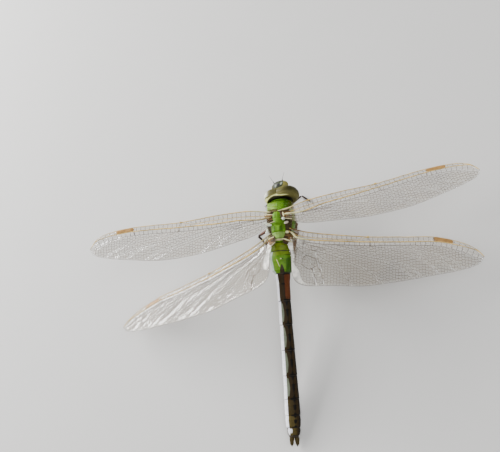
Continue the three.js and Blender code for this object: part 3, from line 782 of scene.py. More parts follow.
# ---- Tail ----------------------------------------------------------------------------------------------------------
class DARNER_OT_tail(bpy.types.Operator):
    """Builds the ten tail plates with their rings, keels and markings, and the two claspers"""

    bl_idname = "darner.tail"
    bl_label = "Tail"

    def execute(self, context):
        body = context.scene.darner_body
        frames, tip = tail_frames()
        finishes = self.finishes(body)
        for index, own_frame in enumerate(frames):
            self.plate(index, own_frame, body.seam / MM, finishes)
        self.claspers(tip, finishes["brown"])
        self.core(frames, tip)
        return {"FINISHED"}

    def finishes(self, body):
        green = {
            "pale_flank_and_sheen": (0.5, 0.62, 0.5),
            "bright": body.bright,
            "deep": (0.04, 0.115, 0.004),
            "olive": (0.15, 0.21, 0.008),
            "stripe_and_shade": body.umber,
            "black": body.black,
            "cream": body.cream,
        }
        rust = {"stripe_and_shade": body.umber, "lens": (0.16, 0.13, 0.09), "black": body.black, "pale_flank_and_sheen": body.ash}
        brown = {"olive": (0.085, 0.062, 0.016), "lens": body.lens, "black": body.black, "pale_flank_and_sheen": body.ash}
        dull = {"roughness": 0.45, "mottle": 0.12, "gloss": 0.1}
        return {
            "green": shell_finish(
                "tail_green_shell", body.green, green, roughness=0.46, mottle=0.22, coat=0.05, gloss=0.18
            ),
            "rust": shell_finish("tail_rust_shell", body.rust, rust, **dull),
            "brown": shell_finish("tail_brown_shell", body.umber, brown, **dull),
        }

    def plate(self, index, own_frame, seam, finishes):
        plate_length, front, wide, tall, _, twist = TAIL[index]
        next_front, next_wide, next_tall = TAIL[index + 1][1:4] if index < 9 else TAIL_TIP
        middle, late = (0.28, 0.85) if index == 1 else (0.4, 0.9)
        front_tall, back_tall = tall * front / wide, next_tall * next_front / next_wide

        def swelling(first, full, last):
            """Half size along the plate, drawn in a little at both ends."""
            return profile((0, first * 0.97), (middle, full), (late, (full + last) / 2 + 0.04), (1, last * 0.97))

        width, height = swelling(front, wide, next_front), swelling(front_tall, tall, back_tall)
        cos, sin = math.cos(math.radians(twist)), math.sin(math.radians(twist))

        def relief(t, angle):
            """Rim at the back, a ring part way along, a keel on top, and the folded edge low on each side."""
            back_rim = 0.07 * step(t, 0.93, 0.955) - 0.05 * hump(t, 0.92, 0.012)
            ring = 0.05 * hump(t, 0.38 if index != 1 else 0.45, 0.018) * (np.sin(angle) > -0.4)
            keel = 0.07 * np.exp(-((np.cos(angle) / 0.05) ** 2)) * (np.sin(angle) > 0) * between(t, 0.06, 0.92, 0.04)
            low = angle % (2 * np.pi)
            fold = 0.08 * (hump(low, math.radians(214), 0.06) + hump(low, math.radians(326), 0.06))
            belly = -0.12 * between(low, math.radians(222), math.radians(318), 0.08)
            return back_rim + ring + keel + fold + belly

        def place(t, angle):
            proud = relief(t, angle)
            x = boxy(np.cos(angle), 0.92) * (width(t) + proud)
            z = boxy(np.sin(angle), 0.92) * (height(t) + proud)
            return np.stack([x * cos + z * sin, -(seam / 2 + t * (plate_length - seam)), z * cos - x * sin], -1)

        points, faces, where = loft(place, 110, 120)
        kind, marks = self.plate_marks(index, *where.T)
        slot = "abdomen_green" if kind == "green" else "abdomen_brown"
        made = shell(f"tail_plate_{index + 1}", own_frame, points, faces, finishes[kind], slot, marks)
        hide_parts(f"abdomen_{index + 1}")

    def plate_marks(self, index, t, angle):
        """The kind of plate, and how strongly each of its colours shows at a share along it and an angle round it."""
        top, out = np.sin(angle), np.cos(angle)
        upper = step(top, 0, 0.35)
        rim, front_edge = step(t, 0.94, 0.965), 1 - step(t, 0.015, 0.05)
        # Degrees down from the middle line, positive to the right.
        down = np.degrees(np.arccos(np.clip(top, -1, 1))) * np.sign(out)
        above_belly = 1 - step(np.abs(down), 112, 128)
        if index < 2:
            first, second = index == 0, index == 1
            flank_starts = (42, 56) if second else (54, 66)
            arc = hump(t, 0.2 - 0.05 * out, 0.02) * step(out, -0.3, 0.4) * upper * second
            opening = step(t, 0.5, 1.0)
            wedge = between(out, -0.22 * opening, 0.24 * opening, 0.05) * step(t, 0.55, 0.65) * (top > 0) * second
            back_band = 0.8 * hump(t, 0.985, 0.012) * step(out, -0.2, 0.2)
            bar = 0.95 * hump(t, 0.36, 0.028) * hump(out, 0.08, 0.05)
            pale_bar = 0.9 * hump(t, 0.365, 0.035) * hump(out, -0.04, 0.055 - 0.2 * (t - 0.38))
            pale_line = 0.9 * hump(out, 0.5 * t - 0.56, 0.04) * between(t, 0.36, 0.74, 0.06)
            right_rim = 0.5 * rim * step(out, -0.1, 0.3) * upper * second
            front_band = 0.8 * front_edge * first * hump(down, 4, 38)
            # A painted sheen of light along the left flank of the second plate.
            sheen = capped(0.75 * hump(down, -30, 16) * (0.8 + 0.2 * np.sin(t * 21)))
            return "green", {
                # Pale flanks, which reach higher on the left, where they also stand as a painted highlight.
                "pale_flank_and_sheen": capped(step(-down, *flank_starts) + step(down, 76, 88)) * 0.9,
                "bright": sheen * (1 - step(t, 0.75, 0.95)) * second,
                # Painted shade on the right of the second plate.
                "deep": 0.85 * step(down, 4, 34) * step(t, 0.12, 0.45) * upper * second,
                "olive": (0.75 if first else 0.6 * (1 - step(t, 0.1, 0.4))) * upper * (1 - step(np.abs(down), 40, 60)),
                "stripe_and_shade": capped(wedge + right_rim + 0.7 * front_edge * first),
                "black": capped(front_band + 0.7 * arc + second * (back_band + bar) * upper),
                "cream": second * upper * capped(pale_bar + pale_line),
            }
        if index == 2:
            ring = hump(t, 0.38, 0.025) * hump(down, -14, 12)
            right_edges = rim * step(out, -0.3, -0.1) + ring + 0.7 * front_edge * step(out, -0.3, 0)
            return "rust", {
                # Pale flanks, which reach higher on the left, where they also stand as a painted highlight.
                "pale_flank_and_sheen": step(np.maximum(-down, down - 18), 46, 52) * above_belly,
                # The umber over the upper left half, with the rust left showing on the right, is a split painted for
                # light and shade; the umber over the back half is the plate's own colour.
                "stripe_and_shade": capped(step(-out, -0.06, 0.06) * upper + 0.5 * step(t, 0.6, 1.0)),
                "lens": 0.3 * between(-down, 30, 50, 6) * (1 - step(t, 0.4, 0.8)),
                "black": capped(right_edges + 0.5 * hump(down, 0, 9)),
            }
        last = index == 9
        late = (index - 3) / 6
        wide_patch = between(-down, 30 + 5 * np.cos(2 * np.pi * t), 52, 5) * between(t, 0.08, 0.88, 0.05)
        # A pale spot on the upper left of the last plate: a painted highlight.
        highlight_spot = 0.9 * hump(t, 0.4, 0.35) * between(-down, 24, 70, 8) * last
        # Pale flanks, which reach higher on the left, where they also stand as a painted highlight.
        pale_side = step(np.maximum(-down, down - 14), 50, 56) * (0.4 if last else 1)
        edges = (rim + 0.8 * front_edge) * step(out, -0.6, -0.3) + 0.7 * hump(t, 0.38, 0.02) * hump(down, 8, 20)
        middle_line = hump(down, 2, 13) * (0.2 if last else 0.9) * (0.75 + 0.25 * np.cos(4 * np.pi * t))
        return "brown", {
            "pale_flank_and_sheen": capped(pale_side * above_belly + highlight_spot),
            "lens": wide_patch * (0.9 if index < 7 else 0.35),
            "olive": capped((0.3 + 0.4 * step(late, 0.5, 0.9)) * step(-down, -25 - 30 * late, 12) * upper),
            # Besides the rings and the middle line, the black darkens the right side of each plate as painted shade.
            "black": capped(edges + middle_line + 0.6 * step(down, 18, 40)),
        }

    def claspers(self, tip, finish):
        own_frame = tip @ spin("X", math.radians(2)) @ spin("Y", math.radians(TAIL[-1][-1]))
        width = profile((0, 0.26), (0.35, 0.56), (0.75, 0.44), (1, 0.06))
        for side_name, side in SIDES.items():
            def place(t, angle):
                wide = width(t)
                c, n = np.cos(angle), np.sin(angle)
                x = side * (0.6 + 0.14 * np.sin(t * np.pi * 0.6)) + 1.12 * wide * c
                z = 0.25 + 0.1 * t + (0.1 + 0.3 * wide) * n + 0.07 * (np.abs(c) < 0.15) * (n > 0)
                return np.stack([x, 0.35 - t * 3.0, z], -1)

            points, faces, where = loft(place, 40, 28)
            t, angle = where.T
            marks = {
                "pale_flank_and_sheen": 0.25 * hump(t, 0.4, 0.25) * step(np.sin(angle), 0.3, 0.9),
                "lens": np.zeros(len(points)),
                "olive": np.full(len(points), 0.5),
                "black": 1 - step(t, 0.02, 0.1) + step(t, 0.8, 1.0),
            }
            made = shell(f"clasper_{side_name}", own_frame, points, faces, finish, "abdomen_brown", marks)
            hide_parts(f"cercus_{side_name}")

    def core(self, frames, tip):
        """Soft dark skin under the plates, which shows in the joints between them."""
        bands = []
        for index, own_frame in enumerate([*frames, tip]):
            front, wide, tall = (*TAIL, (0, *TAIL_TIP))[index][1:4]
            turned = own_frame @ spin("Y", math.radians(TAIL[min(index, 9)][-1]))
            squeeze = 0.93 if index else 0.7

            def place(t, angle):
                ends = squeeze * rounded(t, 8, 0.01)
                x, z = boxy(np.cos(angle), 0.92) * front, boxy(np.sin(angle), 0.92) * tall * front / wide
                return np.stack([x * ends, 0.55 - 1.1 * t, z * ends], -1)

            points, faces, _ = loft(place, 12, 60)
            points = moved(turned, points)
            points[:, 2] = np.maximum(points[:, 2], 0.02)
            bands.append((points, facing_out(points, faces)))
        points, faces = join(bands)
        piece("tail_core", points, faces, bpy.data.materials["soft_skin"], "abdomen_brown")


# ---- Head ----------------------------------------------------------------------------------------------------------
def shallow(across, out, radius):
    """How much to swell an eye where it nears the other one, so that the two meet in a shallow groove."""
    inner = np.sqrt(1 - (np.clip(out - across, 0, radius * 0.9) / radius) ** 2)
    return (0.65 + 0.35 * inner) / inner


class DARNER_OT_head(bpy.types.Operator):
    """Builds the eyes, the pale rim behind them, the forehead with its spot, the face, mouth and feelers"""

    bl_idname = "darner.head"
    bl_label = "Head"

    def execute(self, context):
        head, body = context.scene.darner_head, context.scene.darner_body
        own_frame = head_frame()
        feeler_finish = shell_finish("feeler_shell", (0.02, 0.014, 0.008), roughness=0.4)
        for side_name, side in SIDES.items():
            self.eye(side_name, side, head, own_frame)
            self.feeler(side_name, side, own_frame, feeler_finish)
        self.back(head, own_frame)
        self.forehead(head, own_frame)
        self.simple_eyes(own_frame)
        self.mouth(head, body, own_frame)
        return {"FINISHED"}

    def eye(self, side_name, side, head, own_frame):
        middle = np.array([side * head.eye_out, head.eye_forward, head.eye_up]) / MM
        radii = np.array([head.eye_width, head.eye_depth, head.eye_height]) / 2 / MM

        def place(t, angle):
            on_ball = np.stack(ball(t * np.pi, angle), -1)
            point = on_ball * radii * (1 - 0.02 * on_ball[..., 2:] ** 4) + middle
            point[..., 0] = side * np.maximum(side * point[..., 0], 0.05)
            swell = shallow(point[..., :1] * side, middle[0] * side, radii[0])
            point[..., 1:] = middle[1:] + (point[..., 1:] - middle[1:]) * swell
            point[..., 1] = np.maximum(point[..., 1], head.eye_back / MM - 0.15)
            return point

        points, faces, _ = loft(place, 110, 160)
        x, y, z = points.T
        marks = {
            "low": 1 - step(z, -1.6, 0.6),
            "rim": (1 - step(y, 0.6, 1.1)) * 0.9,
            # Painted shade on the outer right of the right eye.
            "painted_shade": 0.85 * step(x, 1.4, 4.2) * step(z, -2.0, 0.5) * step(y, 0.7, 1.6),
            # A pale patch painted as a highlight on the outer left of the left eye.
            "painted_highlight": step(-x, 2.2, 3.3) * (1 - step(y, 1.5, 2.9)) * step(z, -1.5, 0.5),
        }
        finish = eye_finish(f"eye_{side_name}_facets", head)
        made = shell(f"eye_{side_name}_dome", own_frame, points, faces, finish, "eye", marks)
        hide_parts(f"eye_{side_name}")

    def feeler(self, side_name, side, own_frame, finish):
        root, tip = np.array([side * 1.35, 5.0, 2.35]), np.array([side * 2.3, 6.9, 2.9])
        count = 60
        path = spline([root - [0, 0.4, 0.3], root, root + (tip - root) * 0.35 + [0, 0, 0.08], tip], count)
        t = np.linspace(0, 1, count)
        knuckles = 0.1 * between(t, 0.08, 0.18, 0.02) + 0.08 * between(t, 0.21, 0.3, 0.02)
        radii = 0.035 + 0.06 * (1 - t) ** 3 + np.maximum(0, knuckles - 0.03)
        made = shell(f"feeler_{side_name}", own_frame, *tube(path, radii, 10), finish, "antenna")
        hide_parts(f"antenna_{side_name}")

    def back(self, head, own_frame):
        """The pale rim behind both eyes, dished where the neck goes in."""
        out, forward, up = head.eye_out / MM, head.eye_forward / MM, head.eye_up / MM
        half_width, half_height = head.eye_width / 2 / MM, head.eye_height / 2 / MM
        half_depth = head.eye_depth / 2 / MM

        def outline(y, angle):
            """Reach of the two joined eyes from the head's middle at a height y and an angle."""
            k = np.sqrt(np.clip(1 - ((y - forward) / half_depth) ** 2, 0.02, 1))
            c, n = np.abs(np.cos(angle)), np.sin(angle)
            a, b = half_width * k, half_height * k
            qa = c**2 / a**2 + n**2 / b**2
            qb = -2 * c * out / a**2
            qc = out**2 / a**2 - 1
            reach = (-qb + np.sqrt(np.maximum(qb**2 - 4 * qa * qc, 0))) / (2 * qa)
            return reach * shallow(reach * c, out, a)

        front, rear = head.eye_back / MM - 0.06, -0.28

        def place(t, angle):
            skin, dish = np.clip(t * 2, 0, 1), np.clip(t * 2 - 1, 0, 1)
            c, n = np.cos(angle), np.sin(angle)
            y = front + (rear - front) * skin + (0.85 * dish - 0.4 * dish**4)
            crown = 0.12 * hump(t, 0.36, 0.12) * np.exp(-((c / 0.15) ** 2)) * (n > 0)
            reach = outline(np.where(t < 0.5, y, rear), angle) * (1 - 0.8 * dish**0.8)
            reach = reach - 0.14 * (1 - step(t, 0, 0.12)) + 0.02 + crown
            return np.stack([reach * c, y, up + reach * n], -1)

        points, faces, where = loft(place, 80, 200)
        t, angle = where.T
        x = points[:, 0]
        line = 0.42 - 0.24 * hump(x, -0.6, 1.7)
        wedge = 1.1 * hump(x, -0.1, 0.14 + 1.7 * t) * (1 - step(t, 0.16, 0.26)) * (np.sin(angle) > 0)
        # A pale patch on the left of the rim: partly the rim's own pale colour, partly a painted highlight.
        left = 0.9 * step(-x, 1.8, 4.4) * hump(t, 0.3, 0.2)
        # Behind the pale line the rim is painted dark as painted shade over the neck; on the right that dark begins
        # further back and is weaker at the far right.
        behind = line + 0.09 + (0.5 - line) * step(x, 1.5, 3.2)
        marks = {
            "suture": step(t, behind, behind + 0.06) * (1 - 0.6 * step(x, 2.6, 4.4) * (1 - step(t, 0.62, 0.8))),
            # The pale line fades towards the right as painted shade.
            "olive": capped(hump(t, line, 0.07) * (1 - 0.8 * step(x, 2.0, 4.0)) + wedge + left),
        }
        layers = {"suture": (0.02, 0.018, 0.01), "olive": (0.66, 0.68, 0.26)}
        finish = shell_finish(
            "eye_rim_shell", (0.125, 0.115, 0.034), layers, roughness=0.5, mottle=0.12, grain=0.015, gloss=0.15
        )
        made = shell("eye_rim", own_frame, points, faces, finish, "head_yellow", marks)
        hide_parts("head_back")

    def blob(self, middle, radii, relief=None, rows=70, around=90):
        """A ball with its poles ahead and behind, pushed out by relief(x, y, z on a ball of radius one)."""
        def place(t, angle):
            x, y, z = ball(t * np.pi, angle)
            proud = relief(x, y, z)[..., None] if relief else 0
            return np.stack([x, y, z], -1) * (np.array(radii) + proud) + np.array(middle)

        return loft(place, rows, around)[:2]

    def forehead(self, head, own_frame):
        def fold(x, y, z):
            return 0.1 * hump(z, 0.72, 0.1) * step(y, -0.2, 0.4)

        points, faces = self.blob((0.3, 3.68, 1.78), (2.48, 1.48, 1.16), fold)
        x, y, z = points.T
        from_middle = np.hypot((x - 0.2) / 0.6, (y - 3.95) / 0.5)
        from_spot = np.hypot((x - 0.4) / 0.5, (y - 3.55) / 0.5)
        on_top = step(z, 1.75, 2.2)
        left_edge = step(-x, 0.2, 1.0) * (1 - step(-x, 1.6, 1.9))
        # Two pale patches beside the spot: painted highlights on the shiny ring.
        right_glint = hump(x, 1.2 + 0.3 * (y - 3.6), 0.36) * hump(y, 3.75, 0.5)
        left_glint = 0.85 * hump(x, -0.45 + 0.3 * (y - 3.4), 0.3) * hump(y, 3.4, 0.5)
        marks = {
            "outer": capped(1 - step(from_middle, 2.5, 2.9) + left_edge) * on_top,
            "ring_glints": capped(right_glint + left_glint) * on_top,
            "spot": (1 - step(from_spot, 0.6, 0.9)) * on_top,
            "low": (1 - step(z, 0.9, 1.5)) * 0.6,
        }
        layers = {"outer": (0.03, 0.036, 0.016), "ring_glints": head.ring_glints, "spot": head.spot, "low": (0.32, 0.36, 0.07)}
        finish = shell_finish(
            "forehead_shell", shade(head.face, 0.65), layers,
            roughness=0.45, mottle=0.15, grain=0.015, coat=0.05, gloss=0.15,
        )
        made = shell("forehead", own_frame, points, faces, finish, "head_yellow", marks)
        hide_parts("frons")

    def simple_eyes(self, own_frame):
        """The three simple eyes on their mound, between the compound eyes and the forehead."""
        parts = [self.blob((0, 2.75, 2.3), (0.55, 0.4, 0.34), rows=24, around=32)]
        for at in ((-0.5, 2.9, 2.36), (0.5, 2.9, 2.36), (0, 3.1, 2.42)):
            parts.append(self.blob(at, (0.17, 0.17, 0.17), rows=16, around=20))
        points, faces = join(parts)
        finish = shell_finish(
            "simple_eyes_shell", (0.03, 0.028, 0.015), roughness=0.12, mottle=0.3, grain=0.01, coat=0.6
        )
        piece("simple_eyes", moved(own_frame, points), faces, finish, "head_yellow")

    def mouth(self, head, body, own_frame):
        """The face down to the jaws, and the lower lip."""
        middle, radii = (0, 3.1, -1.1), (2.1, 1.8, 3.05)
        folds = (0.42, -0.02, -0.5)

        def grooves(x, y, z):
            lines = sum(hump(z, at, 0.035) for at in folds)
            return -0.1 * lines * step(y, 0, 0.3) + 0.12 * between(z, -0.48, -0.04, 0.08) * step(y, 0.2, 0.6)

        points, faces = self.blob(middle, radii, grooves, 100, 110)
        points[:, 1] = np.maximum(points[:, 1], 0.8)
        height = (points[:, 2] - middle[2]) / radii[2]
        ahead = step(points[:, 1], 2.9, 3.9)
        marks = {
            "suture": capped(sum(hump(height, at, 0.03) for at in folds) * ahead),
            "lip": between(height, -1, -0.53, 0.02) * ahead * 0.8,
            "jaw": 1 - step(height, -0.92, -0.78),
        }
        layers = {"lip": (0.25, 0.27, 0.05), "suture": body.suture, "jaw": (0.05, 0.025, 0.01)}
        finish = shell_finish("face_shell", head.face, layers, roughness=0.3, mottle=0.18, coat=0.2)
        face = shell("face_plates", own_frame, points, faces, finish, "head_yellow", marks)
        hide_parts("face")

        def lip_grooves(x, y, z):
            return (-0.14 * hump(x, 0, 0.05) - 0.1 * hump(np.abs(x), 0.55, 0.05)) * (z < 0.2)

        points, faces = self.blob((0, 2.1, -3.0), (2.05, 1.95, 1.35), lip_grooves)
        points[:, 1] = np.maximum(points[:, 1], 0.78)
        marks = {"suture": hump(points[:, 0], 0, 0.12) + hump(np.abs(points[:, 0]), 1.18, 0.1)}
        layers = {"suture": body.suture}
        finish = shell_finish("lip_shell", (0.2, 0.15, 0.04), layers, roughness=0.4, mottle=0.2, grain=0.03)
        lip = shell("lower_lip", own_frame, points, faces, finish, "head_yellow", marks)
        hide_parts("labium")


# ---- Wings ---------------------------------------------------------------------------------------------------------
# Edges of a right wing from hinge to tip, as shares of its length and mm across, ahead positive.
OUTLINES = {
    "forewing": (
        ((0, 1.7), (0.12, 3.0), (0.3, 3.2), (0.49, 2.85), (0.64, 3.25), (0.78, 3.35), (0.89, 2.75), (0.96, 1.3),
            (1, -1.35)),
        ((0, -1.6), (0.08, -4.0), (0.2, -5.3), (0.35, -6.65), (0.5, -7.25), (0.64, -7.0), (0.78, -5.8),
            (0.9, -4.6), (0.975, -3.25), (1, -1.35)),
    ),
    "hindwing": (
        ((0, 3.1), (0.1, 2.4), (0.24, 2.25), (0.42, 2.35), (0.6, 2.95), (0.76, 3.35), (0.88, 2.25), (0.96, 0.4),
            (1, -1.7)),
        ((0, -1.8), (0.018, -4.3), (0.027, -7.2), (0.034, -9.9), (0.05, -11.7), (0.08, -12.7), (0.13, -12.9),
            (0.24, -12.3), (0.4, -11.75), (0.56, -10.05), (0.72, -8.0), (0.88, -5.8), (0.97, -3.9), (1, -1.7)),
    ),
}
# Hinge's height along and over the thorax in mm, then swept forward, tip raised and leading edge raised in degrees, and
# how far it bends up towards the tip and how far its long veins sag near the root.
HOLDS = {
    "forewing_left": (6.5, 3.4, -2.1, -2.8, 2.5, 0.05, -0.04),
    "forewing_right": (6.9, 3.8, 11.4, -8.9, -14, 0.03, 0.1),
    "hindwing_left": (0.0, 3.5, -20.5, -19, -28, 0.09, 0),
    "hindwing_right": (0.7, 2.5, -6.5, -14.5, -8.2, 0.06, 0),
}
# Long veins from front to back: the vein it branches from, its height in mm, its radius in mm, and its course as
# (share of the length, share across).
VEINS = {
    "forewing": (
        (0, -0.32, 0.085, ((0, 0.26), (0.05, 0.22), (0.1, 0.19), (0.25, 0.13), (0.42, 0.1), (0.485, 0))),
        (1, 0.22, 0.19, ((0, 0.48), (0.05, 0.44), (0.1, 0.38), (0.18, 0.3), (0.3, 0.25), (0.42, 0.17),
            (0.485, 0.14), (0.6, 0.125), (0.75, 0.125), (0.86, 0.13), (0.93, 0.12), (0.97, 0.05))),
        (2, -0.18, 0.07, ((0.085, 0.42), (0.2, 0.38), (0.35, 0.32), (0.5, 0.25), (0.65, 0.235), (0.8, 0.25),
            (0.9, 0.33), (0.975, 0.6))),
        (3, -0.12, 0.05, ((0.5, 0.26), (0.6, 0.36), (0.7, 0.44), (0.8, 0.56), (0.88, 0.78), (0.915, 1))),
        (3, 0.2, 0.055, ((0.3, 0.36), (0.4, 0.41), (0.5, 0.45), (0.6, 0.5), (0.68, 0.57), (0.76, 0.7),
            (0.83, 0.86), (0.86, 1))),
        (5, 0.1, 0.045, ((0.62, 0.52), (0.7, 0.66), (0.76, 0.82), (0.79, 1))),
        (3, -0.15, 0.05, ((0.22, 0.39), (0.35, 0.48), (0.45, 0.56), (0.55, 0.66), (0.63, 0.8), (0.69, 1))),
        (3, 0.18, 0.055, ((0.085, 0.45), (0.2, 0.45), (0.3, 0.51), (0.4, 0.59), (0.5, 0.68), (0.58, 0.82), (0.64, 1))),
        (0, -0.15, 0.06, ((0, 0.62), (0.075, 0.55), (0.15, 0.55), (0.2, 0.58), (0.27, 0.67), (0.33, 0.8), (0.38, 1))),
        (9, 0.15, 0.055, ((0.2, 0.6), (0.24, 0.73), (0.27, 0.85), (0.29, 1))),
        (0, 0.1, 0.05, ((0, 0.8), (0.06, 0.75), (0.12, 0.76), (0.18, 0.83), (0.22, 1))),
    ),
    "hindwing": (
        (0, -0.32, 0.085, ((0, 0.1), (0.1, 0.085), (0.25, 0.08), (0.36, 0.07), (0.415, 0))),
        (1, 0.22, 0.19, ((0, 0.17), (0.1, 0.15), (0.25, 0.13), (0.41, 0.11), (0.6, 0.12), (0.75, 0.125),
            (0.86, 0.13), (0.93, 0.12), (0.97, 0.05))),
        (2, -0.18, 0.07, ((0.085, 0.19), (0.2, 0.2), (0.35, 0.185), (0.5, 0.185), (0.65, 0.2), (0.8, 0.25),
            (0.9, 0.35), (0.975, 0.6))),
        (3, -0.12, 0.05, ((0.42, 0.19), (0.55, 0.27), (0.65, 0.34), (0.76, 0.47), (0.86, 0.7), (0.9, 1))),
        (3, 0.2, 0.055, ((0.25, 0.2), (0.35, 0.27), (0.5, 0.34), (0.6, 0.4), (0.68, 0.47), (0.76, 0.6),
            (0.82, 0.78), (0.85, 1))),
        (5, 0.1, 0.045, ((0.6, 0.4), (0.68, 0.55), (0.74, 0.74), (0.77, 1))),
        (3, -0.15, 0.05, ((0.18, 0.21), (0.3, 0.32), (0.42, 0.42), (0.52, 0.52), (0.6, 0.64), (0.655, 0.8), (0.69, 1))),
        (3, 0.18, 0.055, ((0.085, 0.23), (0.2, 0.28), (0.3, 0.36), (0.4, 0.45), (0.5, 0.57), (0.57, 0.7),
            (0.62, 0.85), (0.65, 1))),
        (0, -0.15, 0.06, ((0, 0.24), (0.07, 0.3), (0.14, 0.34), (0.22, 0.4), (0.3, 0.5), (0.38, 0.62),
            (0.45, 0.8), (0.49, 1))),
        (9, 0.15, 0.055, ((0.14, 0.35), (0.18, 0.47), (0.25, 0.6), (0.3, 0.75), (0.34, 1))),
        (10, 0.12, 0.05, ((0.15, 0.38), (0.165, 0.55), (0.18, 0.75), (0.195, 1))),
        (0, 0.1, 0.06, ((0, 0.32), (0.05, 0.36), (0.1, 0.44), (0.13, 0.6), (0.145, 0.8), (0.155, 1))),
    ),
}
# Strong short veins, as (share of the length, share across): arch, triangle, brace of the knot, brace of the wing spot,
# and in the hindwing the loop of cells behind the triangle.
BRACES = {
    "forewing": (
        ((0.085, 0.4), (0.085, 0.55)),
        ((0.15, 0.46), (0.235, 0.5), (0.15, 0.55), (0.15, 0.46)),
        ((0.485, 0), (0.5, 0.16), (0.5, 0.26)),
        ((0.752, 0.125), (0.745, 0.25)),
    ),
    "hindwing": (
        ((0.085, 0.15), (0.08, 0.3)),
        ((0.12, 0.25), (0.2, 0.3), (0.13, 0.345), (0.12, 0.25)),
        ((0.415, 0), (0.43, 0.11), (0.43, 0.19)),
        ((0.752, 0.125), (0.745, 0.24)),
        ((0.1, 0.44), (0.15, 0.5), (0.16, 0.62), (0.12, 0.7), (0.08, 0.64), (0.085, 0.5), (0.1, 0.44)),
    ),
}
# Knot of the leading edge, as a share of the length.
KNOTS = {"forewing": 0.485, "hindwing": 0.415}
# Start and end of the wing spot, as shares of the length.
SPOT = (0.755, 0.845)
# The leading edge and the two long veins behind it are thick ribs, with one row of wide cells in each field.
RIBS = 3
# Lengths of a small cell and of a wide one, radii of the trailing edge and of the braces, in mm.
CELL, LADDER = 0.78, 1.3
EDGE_RADIUS, BRACE_RADIUS = 0.045, 0.075
# Hinge plates from front to back: middle and half sizes in mm on a hinge of a common length, slope, then how pale and
# how dark each one is on the left side and on the right side. Where the sides differ, the paler left is painted light
# and the darker right is painted shade.
COMMON_HINGE = 3.3
HINGE_PLATES = (
    ((0.1, 1.0, 0.02), (1.3, 0.2, 0.1), 0.25, (0.6, 0), (0.1, 0.7)),
    ((-0.1, 0.66, 0.04), (0.9, 0.22, 0.11), 0.05, (0.15, 0.1), (0.15, 0.5)),
    ((0.5, 0.36, 0.02), (1.0, 0.2, 0.09), 0.4, (0.1, 0.2), (0.1, 0.5)),
    ((-0.5, 0.2, 0.04), (0.6, 0.3, 0.1), -0.1, (0.05, 0.7), (0.05, 0.7)),
    ((0.3, -0.05, 0), (0.9, 0.16, 0.08), 0.3, (0.3, 0.1), (0.3, 0.4)),
    ((0, -0.4, 0.02), (0.8, 0.2, 0.08), 0.1, (0, 0.4), (0, 0.4)),
)
# Single plates and pale swellings: middle and half sizes in mm, slope, then how pale, dark and grey each one is. The
# grey swellings are pale root skin that also stands as a painted sheen on the wing roots.
SINGLE_PLATES = {
    "forewing_left": (
        ((0.8, -1.5, 0), (0.9, 0.35, 0.06), 0.4, (0, 0, 1)),
        ((0.3, -1.9, -0.05), (0.7, 0.3, 0.06), 0.1, (0, 0, 0.9)),
    ),
    "forewing_right": (
        ((-0.57, 0.25, 0.12), (0.17, 0.75, 0.18), 0, (1, 0, 0)),
        ((-0.85, -1.3, 0.25), (0.42, 0.42, 0.34), 0, (0, 0, 1)),
        ((-0.35, -2.4, -0.2), (0.6, 0.42, 0.06), 0.1, (0, 0, 0.46)),
    ),
    "hindwing_left": (
        ((0.8, 5.2, -0.1), (0.35, 0.9, 0.1), -0.4, (0, 0, 0.9)),
        ((1.2, 4.7, -0.15), (0.3, 0.7, 0.08), -0.5, (0, 0, 1)),
    ),
    "hindwing_right": (((-0.4, 1.85, 0.15), (0.5, 0.4, 0.2), 0, (1, 0, 0)),),
}
# Outer and inner edge of the pale flap in the right hindwing's inner corner, in mm from the hinge.
CORNER_FLAP = (
    ((1.25, -5.0), (1.42, -7.4), (1.68, -9.6), (2.35, -11.3), (3.6, -12.3), (5.6, -12.65)),
    ((1.3, -5.0), (2.1, -7.3), (3.3, -8.9), (3.9, -10.6), (4.5, -11.8), (5.7, -12.6)),
)


